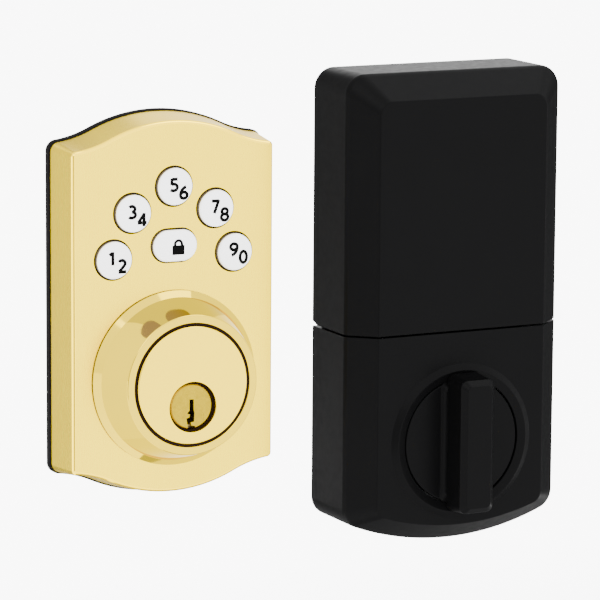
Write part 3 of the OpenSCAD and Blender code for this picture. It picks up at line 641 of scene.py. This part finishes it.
def cap_loft(name, outline_at, radius, profile):
    """Lofts a (radius, depth) profile; outline_at gives the cap's outline for an inset."""
    return loft(name, [ring(outline_at(radius - r), d) for r, d in profile])


def add_button(node, outline_at, radius):
    """Cap, flange and stem; everything behind the cap's rounded front gets the brown skirt, a painted shade
    for the shadow in the gap round the cap.
    """
    b = Box(node)
    flange = [(radius + FLANGE_LIP, FLANGE_BACK), (radius + FLANGE_LIP, FLANGE_FRONT)]
    body = cap_loft(node + "_cap", outline_at, radius, flange + cap_profile(b, radius))
    join(body, lathe("stem", [(STEM_R, b.back), (STEM_R, FLANGE_BACK + 0.2)], b.x, b.z, steps=32))
    soften(body, angle=50)
    dress(body, white_cap, node, node, slot="button_white")
    # The cap's sides behind its rounded front are painted brown as the shade inside the gap
    body.data.materials.append(skirt_painted_shade)
    for polygon in body.data.polygons:
        if -polygon.center.y / MM < b.front - CAP_ROUND - 0.1:
            polygon.material_index = 1


def add_mark(mark, node, outline_at, radius):
    """Trims a printed mark with the cap grown by a hair, so that it follows the dome."""
    profile = cap_profile(Box(node), radius, SKIN)
    boolean(mark, cap_loft("trim", outline_at, radius, profile), "INTERSECT")
    soften(mark, angle=30)
    dress(mark, print_black, node, slot="button_white")


STROKE = 1.08


def ellipse(x, z, half_w, half_h, start=0.0, end=360.0, steps=40):
    """Points along an ellipse, from one angle to another, counted from the right and upwards."""
    turn = [math.radians(start + (end - start) * i / steps) for i in range(steps + 1)]
    return [(x + half_w * math.cos(t), z + half_h * math.sin(t)) for t in turn]


# Each digit's strokes as centre lines, from the lower middle of a cell one unit high
DIGITS = {
    "0": [ellipse(0, 0.5, 0.275, 0.43)],
    "1": [[(0.0, 0.0), (0.0, 1.0)], [(0.0, 0.93), (-0.27, 0.76)]],
    "2": [ellipse(-0.03, 0.7, 0.27, 0.24, 150, -25, 20) + [(0.05, 0.4), (-0.24, 0.1)],
          [(-0.3, 0.07), (0.33, 0.07)]],
    "3": [ellipse(-0.07, 0.72, 0.26, 0.21, 140, -90, 22), ellipse(-0.07, 0.285, 0.3, 0.225, 90, -140, 26)],
    "4": [[(0.16, 0.0), (0.16, 1.0)], [(0.18, 0.95), (-0.3, 0.29)], [(-0.36, 0.27), (0.38, 0.27)]],
    "5": [[(0.28, 0.93), (-0.2, 0.93)], [(-0.19, 1.0), (-0.21, 0.5)],
          ellipse(-0.06, 0.32, 0.31, 0.25, 122, -140, 28)],
    "6": [ellipse(0.02, 0.3, 0.28, 0.235), ellipse(0.34, 0.33, 0.6, 0.61, 102, 185, 20)],
    "7": [[(-0.3, 0.93), (0.3, 0.93)], [(0.28, 1.0), (-0.1, 0.0)]],
    "8": [ellipse(0, 0.725, 0.235, 0.205), ellipse(0, 0.28, 0.28, 0.235)],
    "9": [ellipse(-0.02, 0.7, 0.28, 0.235), ellipse(-0.34, 0.67, 0.6, 0.61, 282, 365, 20)],
}


def ribbon(points, width):
    """The closed outline of a stroke of one width along a centre line; a closed line gives two outlines."""
    n = len(points)
    closed = math.dist(points[0], points[-1]) < 1e-9
    left, right_side = [], []
    for i, (x, z) in enumerate(points):
        before = points[i - 1] if i else (points[-2] if closed else points[0])
        after = points[i + 1] if i < n - 1 else (points[1] if closed else points[-1])
        dx, dz = after[0] - before[0], after[1] - before[1]
        size = math.hypot(dx, dz)
        off_x, off_z = -dz / size * width / 2, dx / size * width / 2
        left.append((x + off_x, z + off_z))
        right_side.append((x - off_x, z - off_z))
    if closed:
        return left[:-1], right_side[:-1]
    return left + right_side[::-1], None


def stroke_solid(name, points, width, back, front):
    first, second = ribbon(points, width)
    if second is None:
        return prism(name, first, back, front)
    rings = [ring(first, back), ring(first, front), ring(second, front), ring(second, back)]
    return loft(name, rings, closed=True)


def digit_solid(digit, x, z, height, back, front):
    """A digit centred on (x, z), as one solid."""
    made = None
    for line in DIGITS[digit]:
        points = [(x + px * height, z + (pz - 0.5) * height) for px, pz in line]
        stroke = stroke_solid("digit_" + digit, points, STROKE, back, front)
        made = stroke if made is None else boolean(made, stroke, "UNION")
    return made


DIGIT_H = 4.3
DIGIT_SHIFT = {"button_12": (-0.25, 0.2), "button_90": (0.05, 0.4)}
USUAL_SHIFT = (0, 0.1)
FIRST_AT = (-0.65, 0.55)
SECOND_AT = (2.65, -2.1)
PRINT_BACK = 1.0


def make_button(node, digits):
    """A round button with two digits inlaid in its cap, the second to the lower right of the first."""
    b = Box(node)

    def outline_at(inset):
        return circle(b.x, b.z, CAP_R - inset)

    add_button(node, outline_at, CAP_R)
    shift_x, shift_z = DIGIT_SHIFT.get(node, USUAL_SHIFT)
    for digit, (dx, dz) in zip(digits, (FIRST_AT, SECOND_AT)):
        mark = digit_solid(digit, b.x + dx + shift_x, b.z + dz + shift_z, DIGIT_H, b.front - PRINT_BACK,
                           b.front + 1)
        add_mark(mark, node, outline_at, CAP_R)


def make_lock_button():
    """The wide button, with a plain padlock inlaid: a shackle over a rounded block."""
    node = "button_lock"
    b = Box(node)
    radius = LOCK_HOLE[1] / 2 - LOCK_GAP

    def outline_at(inset):
        shrink = 2 * (LOCK_GAP + inset)
        return stadium(b.x, b.z, LOCK_HOLE[0] - shrink, LOCK_HOLE[1] - shrink)

    add_button(node, outline_at, radius)
    at_x, block_z0 = b.x + 0.85, b.z - 2.9
    block_w, block_h = 4.3, 3.1
    block_z1 = block_z0 + block_h
    block = round_loop(rectangle(at_x - block_w / 2, block_z0, at_x + block_w / 2, block_z1), [0.25] * 4, 3)
    leg, half_bar = 1.2, 0.45
    outside, inside = leg + half_bar, leg - half_bar
    bow_z, foot = block_z1 + 0.35, block_z1 - 0.3
    shackle = [(at_x + outside, foot)] + arc(at_x, bow_z, outside, 0, math.pi, 20)
    shackle += [(at_x - outside, foot), (at_x - inside, foot)]
    shackle += arc(at_x, bow_z, inside, math.pi, 0, 20) + [(at_x + inside, foot)]
    for name, outline in (("padlock_block", block), ("padlock_shackle", shackle)):
        add_mark(prism(name, outline, b.front - PRINT_BACK, b.front + 1), node, outline_at, radius)


# Thin black rings fill the gaps round the collar's base, the cylinder's face and the plug: painted shade for
# the dark inside those gaps
SHADE_RING_CLEARANCE = 0.02
# Back and front depths of the painted shade rings
CYLINDER_SHADE_RING = (28.5, 31.15)
PLUG_SHADE_RING = (28.2, 30.4)


def make_painted_shade_ring(name, inner_r, outer_r, back, front, x, z):
    """A thin black ring that fills a round gap, painted shade for the dark inside it."""
    edge_r = min(0.1, (outer_r - inner_r) / 3)
    loop = round_loop(rectangle(inner_r, back, outer_r, front), [edge_r] * 4, 3)
    body = lathe(name, loop, x, z, closed=True, steps=160)
    soften(body, angle=60)
    dress(body, gap_ring_painted_shade, "root", slot="gasket_black")


make_painted_shade_ring("collar_shade_ring", COLLAR_BORE_R, collar.w / 2 - 0.15, collar.back, collar.back + COLLAR_GAP + 0.1,
          collar.x, collar.z)
make_painted_shade_ring("cylinder_shade_ring", face.w / 2 + 0.05, COLLAR_BORE_R - SHADE_RING_CLEARANCE, *CYLINDER_SHADE_RING, face.x, face.z)
make_painted_shade_ring("plug_shade_ring", plug.w / 2 + 0.06, PLUG_HOLE_R - SHADE_RING_CLEARANCE, *PLUG_SHADE_RING, *PLUG_AXIS)
make_escutcheon()
make_gasket()
make_collar()
make_face()
make_plug()
for button_node, button_digits in BUTTONS.items():
    make_button(button_node, button_digits)
make_lock_button()

# ---------------------------------------------------------------- thumb-turn unit

WALL = 2.0
EDGE_R = 2.6
FRONT_R = 1.0
REACH = 60


def outer_block(name):
    profile = fillet(
        [(0, 0.35), (0, 0), (SIDE_DEPTH, 0), (FACE_DEPTH, BEVEL_W), (FACE_DEPTH, BEVEL_W + 4)],
        [0, 0.3, EDGE_R, FRONT_R, 0], 7)
    return body_block(name, profile)


def inner_block(name):
    profile = [(-1, WALL), (SIDE_DEPTH - 0.7, WALL), (FACE_DEPTH - WALL, BEVEL_W + 0.4)]
    return body_block(name, profile)


def slab(z0, z1):
    """A block wider and deeper than the unit, between two heights."""
    return prism("slab", rectangle(BODY_X - REACH, z0, BODY_X + REACH, z1), -5, REACH)


def make_battery_cover():
    """The upper part of the block, hollow, with the two rails it slides on."""
    body = boolean(outer_block("battery_door"), inner_block("cavity"))
    boolean(body, slab(SEAM_HIGH, BODY_TOP + 5), "INTERSECT")
    # The lower back corners are cut back at a slant
    slant = [(-1, SEAM_HIGH - 1), (3.4, SEAM_HIGH), (-1, SEAM_HIGH + 1.43)]
    boolean(body, loft("wedge", [[(x, d, z) for d, z in slant] for x in (BODY_X - REACH, BODY_X + REACH)]))
    rail_x, rail_z0, rail_z1 = 35.3, 19, 95
    for side in (-1, 1):
        outline = rectangle(BODY_X + side * rail_x, rail_z0, BODY_X + side * (BODY_HALF_W - 1), rail_z1)
        boolean(body, prism("rail", outline, 0.5, 1.9), "UNION")
    soften(body, 0.3, 3, 50)
    dress(body, housing, "battery_cover", "battery_cover", slot="housing_black")


TURN_HOLE_R = 21.3
RING_R = 25.5


def make_lower_cover():
    """The lower part of the block, hollow, with the raised ring round the thumb-turn's hole."""
    body = boolean(outer_block("lower_housing"), inner_block("cavity"))
    boolean(body, slab(BODY_BOTTOM - 5, SEAM_LOW), "INTERSECT")
    crest = lower.front
    bead = fillet(
        [(TURN_HOLE_R - 1, FACE_DEPTH - WALL), (RING_R + 1.5, FACE_DEPTH - WALL),
         (RING_R + 1.5, FACE_DEPTH - 0.3), (RING_R + 0.6, FACE_DEPTH + 0.02),
         (RING_R - 0.5, FACE_DEPTH + 0.7), (RING_R - 1.5, crest), (TURN_HOLE_R - 1, FACE_DEPTH + 0.15)],
        [0, 0, 0, 1.2, 0.0, 0.5, 0], 4)
    boolean(body, lathe("ring", bead, turn.x, turn.z, closed=True, steps=160), "UNION")
    boolean(body, prism("hole", circle(turn.x, turn.z, TURN_HOLE_R, 160), FACE_DEPTH - 5, FACE_DEPTH + 5))
    soften(body, 0.25, 3, 50)
    dress(body, housing, "root", "lower_cover", slot="housing_black")


def rounded_rect(x, z, w, h, r):
    loop = [(x + w / 2, z - h / 2), (x + w / 2, z + h / 2), (x - w / 2, z + h / 2), (x - w / 2, z - h / 2)]
    return round_loop(loop, [r] * 4, 6)


DISC_R = 20.8
SOCKET_W = 8.6
SOCKET_FRONT = 31.3
ROOT_HALF = 18.6
GRIP_W = 12.5
GRIP_HALF = turn.h / 2
GRIP_LEAN = 0.9
GRIP_CHAMFER = 1.75


def make_thumbturn():
    """Disc, root and overhanging grip with a chamfered front."""
    face_at = FACE_DEPTH + 0.3
    disc_profile = fillet(
        [(DISC_R - 1, turn.back), (DISC_R, turn.back), (DISC_R, face_at), (DISC_R - 4, face_at)],
        [0, 0.3, 0.45, 0], 5)
    body = lathe("thumbturn_knob", disc_profile, turn.x, turn.z, steps=160)
    socket = rounded_rect(turn.x, turn.z, SOCKET_W, SOCKET_W, 0.3)
    boolean(body, prism("socket", socket, turn.back - 1, SOCKET_FRONT))

    lift = FACE_DEPTH + 1.8
    root_profile = [(-1.7, face_at - 0.4), (-1.7, face_at), (-0.9, face_at + 0.35), (-0.3, face_at + 0.95),
                    (0, face_at + 1.8), (0, lift + 1)]
    root = loft("root", [ring(rounded_rect(turn.x, turn.z, GRIP_W - 2 * s, 2 * (ROOT_HALF - s), 2.2), d)
                         for s, d in root_profile])

    chamfer_at = turn.front - GRIP_CHAMFER
    grip_profile = fillet(
        [(1.5, lift), (0, lift), (0, chamfer_at), (GRIP_CHAMFER, turn.front), (4.5, turn.front)],
        [0, 0.5, 0.45, 0.4, 0], 5)

    def grip_ring(inset, depth):
        """The grip's outline at a depth; its ends lean in towards the front."""
        lean = GRIP_LEAN * (depth - lift) / (chamfer_at - lift)
        corner = max(0.4, 2.4 - 0.4 * inset)
        return ring(rounded_rect(turn.x, turn.z, GRIP_W - 2 * inset, 2 * (GRIP_HALF - inset - lean), corner),
                    depth)

    grip = loft("grip", [grip_ring(inset, depth) for inset, depth in grip_profile])
    boolean(grip, root, "UNION")
    boolean(body, grip, "UNION")
    soften(body, angle=35)
    dress(body, housing, "thumbturn", "thumbturn", slot="housing_black")


make_battery_cover()
make_lower_cover()
make_thumbturn()

# ---------------------------------------------------------------- pieces kept from the CAD model

KEPT = {
    zinc: ["exterior_backplate", "backplate_screws", "mounting_posts", "cylinder_screws", "driver_pins",
           "plug_clip", "torque_blade", "dome_switches", "keypad_screws", "interior_mounting_plate",
           "chassis_screws", "cover_screws", "turn_spindle", "idler_pin", "gear_plate", "gear_plate_screws",
           "gear_motor", "motor_shaft", "radio_shield"],
    bright_steel: ["pin_springs", "battery_contacts", "battery_springs"],
    raw_brass: ["cylinder_body", "chamber_cap", "key_pins", "motor_pinion"],
    mat_grey: ["keypad_mat"],
    board: ["keypad_pcb", "interior_pcb"],
    inner: ["keypad_bracket", "interior_chassis", "battery_tray", "turn_flange"],
    nylon: ["keypad_connector", "spindle_gear", "position_cam", "idler_gear", "harness_connectors"],
    component: ["position_switches", "pcb_components", "buzzer"],
    blue: ["program_button"],
}

WELD_DISTANCE = 1e-6
FLAT_ANGLE = math.radians(0.5)
BROKEN_EDGE = 0.12


def finish_kept(obj, material):
    """Material, and finely broken edges over the CAD node's welded and flattened faces."""
    obj.data.materials.clear()
    obj.data.materials.append(material)
    weld = obj.modifiers.new("weld", "WELD")
    weld.merge_threshold = WELD_DISTANCE
    flat = obj.modifiers.new("flat", "DECIMATE")
    flat.decimate_type = "DISSOLVE"
    flat.angle_limit = FLAT_ANGLE
    edge = obj.modifiers.new("edge", "BEVEL")
    edge.width = BROKEN_EDGE * MM
    edge.segments = 2
    edge.limit_method = "ANGLE"
    edge.angle_limit = math.radians(40)
    normals = obj.modifiers.new("normals", "WEIGHTED_NORMAL")
    normals.keep_sharp = True


for kept_material, kept_nodes in KEPT.items():
    for kept_node in kept_nodes:
        finish_kept(nodes[kept_node], kept_material)

SLEEVE_DARK = (0.012, 0.012, 0.014)
SLEEVE_COPPER = (0.62, 0.30, 0.10)
SLEEVE_Z0, SLEEVE_Z1 = 0.3, 48.4
# The band is at the nub's end of the sleeve, whichever way up the cell is
BAND_H = 14
UP_BAND_Z, DOWN_BAND_Z = 34, 2


def make_battery(index):
    """An AA cell: crimped ends, a printed sleeve with a copper-coloured band, and its nub."""
    node = f"battery_{index}"
    b = Box(node)
    r = b.w / 2
    axis_depth = (b.back + b.front) / 2
    up = index % 2 == 1
    # Radius and the distance along the cell, from its flat end to its nub
    profile = fillet(
        [(3.2, 0.2), (4.6, 0.0), (5.9, 0.0), (r, 0.35), (r, 48.3), (5.6, 49.0), (3.0, 48.75), (2.6, 48.75),
         (2.6, 50.4), (1.0, 50.4)],
        [0, 0.1, 0.3, 0.5, 0.6, 0.2, 0.1, 0.1, 0.3, 0], 3)
    rings = []
    for radius, along in profile:
        z = b.z0 + along if up else b.z1 - along
        rings.append([(x, depth, z) for x, depth in circle(b.x, axis_depth, radius, 64)])
    body = loft(node + "_cell", rings)
    soften(body, angle=50)
    band_low = b.z0 + (UP_BAND_Z if up else DOWN_BAND_Z)
    sleeve = battery_sleeve(f"cell_sleeve_{index}", SLEEVE_DARK, SLEEVE_COPPER,
                            band_low * MM, (band_low + BAND_H) * MM)
    dress(body, sleeve, "root", node, slot="cell_sleeve")
    body.data.materials.append(bright_steel)
    for polygon in body.data.polygons:
        centre_z = polygon.center.z / MM
        along = centre_z - b.z0 if up else b.z1 - centre_z
        if not SLEEVE_Z0 <= along <= SLEEVE_Z1:
            polygon.material_index = 1


for battery_index in range(1, 5):
    make_battery(battery_index)

# ---------------------------------------------------------------- stage, camera and light

FLOOR_DROP = 200
FLOOR_HALF = 20000
# The floor glows, and more so farther back, so that it shows as white as the background
GLOW_NEAR, GLOW_FAR = 1.6, 6.0
GLOW_NEAR_Y, GLOW_FAR_Y = -0.2, 0.7

floor_z = cad_low.z / MM - FLOOR_DROP
floor_outline = rectangle(-FLOOR_HALF, -FLOOR_HALF, FLOOR_HALF, FLOOR_HALF)
floor = new_mesh("floor", [(x, depth, floor_z) for x, depth in floor_outline], [(0, 1, 2, 3)])
floor_look = Shader("pale_floor", (0.86, 0.86, 0.86), 0.8, specular=0.1)
floor_look.colour(floor_look.noise(3.0, 2.0), (0.85, 0.85, 0.85), (0.87, 0.87, 0.87))
floor_y = floor_look.node("ShaderNodeSeparateXYZ", Vector=floor_look.coords).outputs["Y"]
glow = floor_look.remap(floor_y, GLOW_NEAR, GLOW_FAR, GLOW_NEAR_Y, GLOW_FAR_Y)
floor_look.link(glow, "Emission Strength")
floor_look.bsdf.inputs["Emission Color"].default_value = (1, 1, 1, 1)
floor.data.materials.append(floor_look.mat)


def card_look(name, strength, colour):
    """A glow on the card's front, and nothing on its back."""
    look = bpy.data.materials.new(name)
    look.use_nodes = True
    tree = look.node_tree
    tree.nodes.clear()
    glow = tree.nodes.new("ShaderNodeEmission")
    glow.inputs["Color"].default_value = (*colour, 1)
    glow.inputs["Strength"].default_value = strength
    mix = tree.nodes.new("ShaderNodeMixShader")
    tree.links.new(tree.nodes.new("ShaderNodeNewGeometry").outputs["Backfacing"], mix.inputs[0])
    tree.links.new(glow.outputs[0], mix.inputs[1])
    tree.links.new(tree.nodes.new("ShaderNodeBsdfTransparent").outputs[0], mix.inputs[2])
    tree.links.new(mix.outputs[0], tree.nodes.new("ShaderNodeOutputMaterial").inputs["Surface"])
    return look


def reflector(name, centre, target, size, strength, colour=(1, 1, 1), corner=0.4):
    """A card that only reflections see, and only from its front, facing the target, in metres."""
    facing = (Vector(target) - Vector(centre)).to_track_quat("Z", "Y").to_matrix()
    w, h = size
    outline = round_loop(rectangle(-w / 2, -h / 2, w / 2, h / 2), [min(w, h) * corner] * 4, 5)
    corners = [Vector(centre) + facing @ Vector((x, y, 0)) for x, y in outline]
    card = new_mesh(name, [(c.x / MM, -c.y / MM, c.z / MM) for c in corners], [tuple(range(len(corners)))])
    if card.data.polygons[0].normal.dot(facing.col[2]) < 0:
        card.data.flip_normals()
    card.data.materials.append(card_look(name, strength, colour))
    card.visible_camera = False
    card.visible_diffuse = False
    card.visible_shadow = False


def card_facing_out(name, x, depth, z, w, h, strength, colour=(1, 1, 1), corner=0.4):
    """A card parallel to the door, facing away from it, in millimetres."""
    at = (x * MM, -depth * MM, z * MM)
    reflector(name, at, (at[0], at[1] - 1, at[2]), (w * MM, h * MM), strength, colour, corner)


reflector("board_back_left", (-0.34, 0.40, 0.08), (-0.02, 0, 0.03), (0.50, 0.66), 1.6)
reflector("board_back", (0.02, 0.46, 0.08), (0.08, 0, 0.03), (0.26, 0.66), 0.45)
reflector("board_above", (0.42, -0.16, 0.82), (0.05, 0, 0.03), (0.6, 0.6), 8.0)
reflector("board_camera_side", (-0.40, -0.80, -0.08), (0, 0, 0), (0.6, 0.8), 1.2)
reflector("board_right", (0.62, 0.20, 0.0), (0.1, 0, 0.02), (0.5, 0.8), 0.3)
reflector("board_low", (0.05, 0.42, -0.235), (0.05, 0.42, 1.0), (1.1, 0.5), 0.7, corner=0.1)
reflector("board_under", (0.24, 0.02, -0.24), (0.24, 0.02, 1.0), (0.5, 0.3), 1.4, corner=0.2)
reflector("board_between", (0.048, -0.031, 0.02), (-1, -0.031, 0.02), (0.028, 0.14), 3.4, corner=0.05)

# The polished collar mirrors the plate round it: four cards just in front of the plate keep that reflection
# pale, and leave the cylinder's own square free
CARD_GAP = 0.1
CARDS_X0, CARDS_X1 = -100, 48
CARDS_Z0, CARDS_Z1 = -60, 100
around = COLLAR_BORE_R
for side, x0, x1, z0, z1, strength in (
        ("left", CARDS_X0, -around, CARDS_Z0, CARDS_Z1, 3.7),
        ("right", around, CARDS_X1, CARDS_Z0, CARDS_Z1, 3.3),
        ("top", -around, around, collar.z + around, CARDS_Z1, 2.2),
        ("bottom", -around, around, CARDS_Z0, collar.z - around, 3.3)):
    card_facing_out("board_" + side + "_of_collar", (x0 + x1) / 2, shell.front + CARD_GAP, (z0 + z1) / 2,
                    x1 - x0, z1 - z0, strength, corner=0.001)

# The collar also mirrors the buttons, as brown patches: a painted reflection, made by glowing brown cards
# just in front of each button that only reflections see
SHADE_W, LOCK_SHADE_W, SHADE_H = 14.5, 16.5, 14.5
SHADE_GAP = 0.2
SHADE_DROP = 2.1
SHADE_STRENGTH = 9.0
SHADE_COLOUR = (0.09, 0.076, 1.0)
for shaded_node in (*BUTTONS, "button_lock"):
    shaded = Box(shaded_node)
    card_facing_out(shaded_node + "_shade", shaded.x, shaded.front + SHADE_GAP, shaded.z - SHADE_DROP,
                    LOCK_SHADE_W if shaded_node == "button_lock" else SHADE_W, SHADE_H,
                    SHADE_STRENGTH, SHADE_COLOUR)

# The camera looks at a point beside the origin, from a distance in metres
YAW = math.radians(26.51)
ELEVATION = math.radians(9.9)
ROLL = math.radians(0.39)
DISTANCE = 1.28284
AIM_RIGHT = 0.048485
AIM_UP = 0.029380
LENS = 234.76
SENSOR = 36
back = Vector((-math.sin(YAW) * math.cos(ELEVATION), -math.cos(YAW) * math.cos(ELEVATION),
               math.sin(ELEVATION)))
level_right = Vector((0, 0, 1)).cross(back).normalized()
level_up = back.cross(level_right)
right = level_right * math.cos(ROLL) + level_up * math.sin(ROLL)
up_axis = -level_right * math.sin(ROLL) + level_up * math.cos(ROLL)
eye = back * DISTANCE + right * AIM_RIGHT + up_axis * AIM_UP
camera_data = bpy.data.cameras.new("camera")
camera_data.lens = LENS
camera_data.sensor_width = SENSOR
camera_data.clip_start = 0.05
camera_data.clip_end = 100
camera = new_object("camera", camera_data)
camera.matrix_world = Matrix([(right[i], up_axis[i], back[i], eye[i]) for i in range(3)] + [(0, 0, 0, 1)])
bpy.context.scene.camera = camera

KEY_AT = Vector((-0.9, -1.5, 1.3))
KEY_SIZE = 1.0
KEY_POWER = 12
key_data = bpy.data.lights.new("key", "AREA")
key_data.shape = "RECTANGLE"
key_data.size = key_data.size_y = KEY_SIZE
key_data.energy = KEY_POWER
key = new_object("key", key_data)
key.location = KEY_AT
key.rotation_euler = ((cad_low + cad_high) / 2 - KEY_AT).to_track_quat("-Z", "Y").to_euler()

# The surroundings are white, and brighter towards the front
BRIGHT_SIDE = Vector((0.35, -0.85, 0.2))
DIM_LEVEL, BRIGHT_LEVEL = 2.4, 4.4
world = bpy.data.worlds.new("studio")
bpy.context.scene.world = world
world.use_nodes = True
sky = world.node_tree
direction = sky.nodes.new("ShaderNodeTexCoord")
towards = sky.nodes.new("ShaderNodeVectorMath")
towards.operation = "DOT_PRODUCT"
towards.inputs[1].default_value = BRIGHT_SIDE.normalized()
level = sky.nodes.new("ShaderNodeMapRange")
level.inputs["From Min"].default_value = -0.8
level.inputs["From Max"].default_value = 0.8
level.inputs["To Min"].default_value = DIM_LEVEL
level.inputs["To Max"].default_value = BRIGHT_LEVEL
sky.links.new(direction.outputs["Generated"], towards.inputs[0])
sky.links.new(towards.outputs["Value"], level.inputs["Value"])
background = sky.nodes["Background"]
background.inputs["Color"].default_value = (1, 1, 1, 1)
sky.links.new(level.outputs["Result"], background.inputs["Strength"])
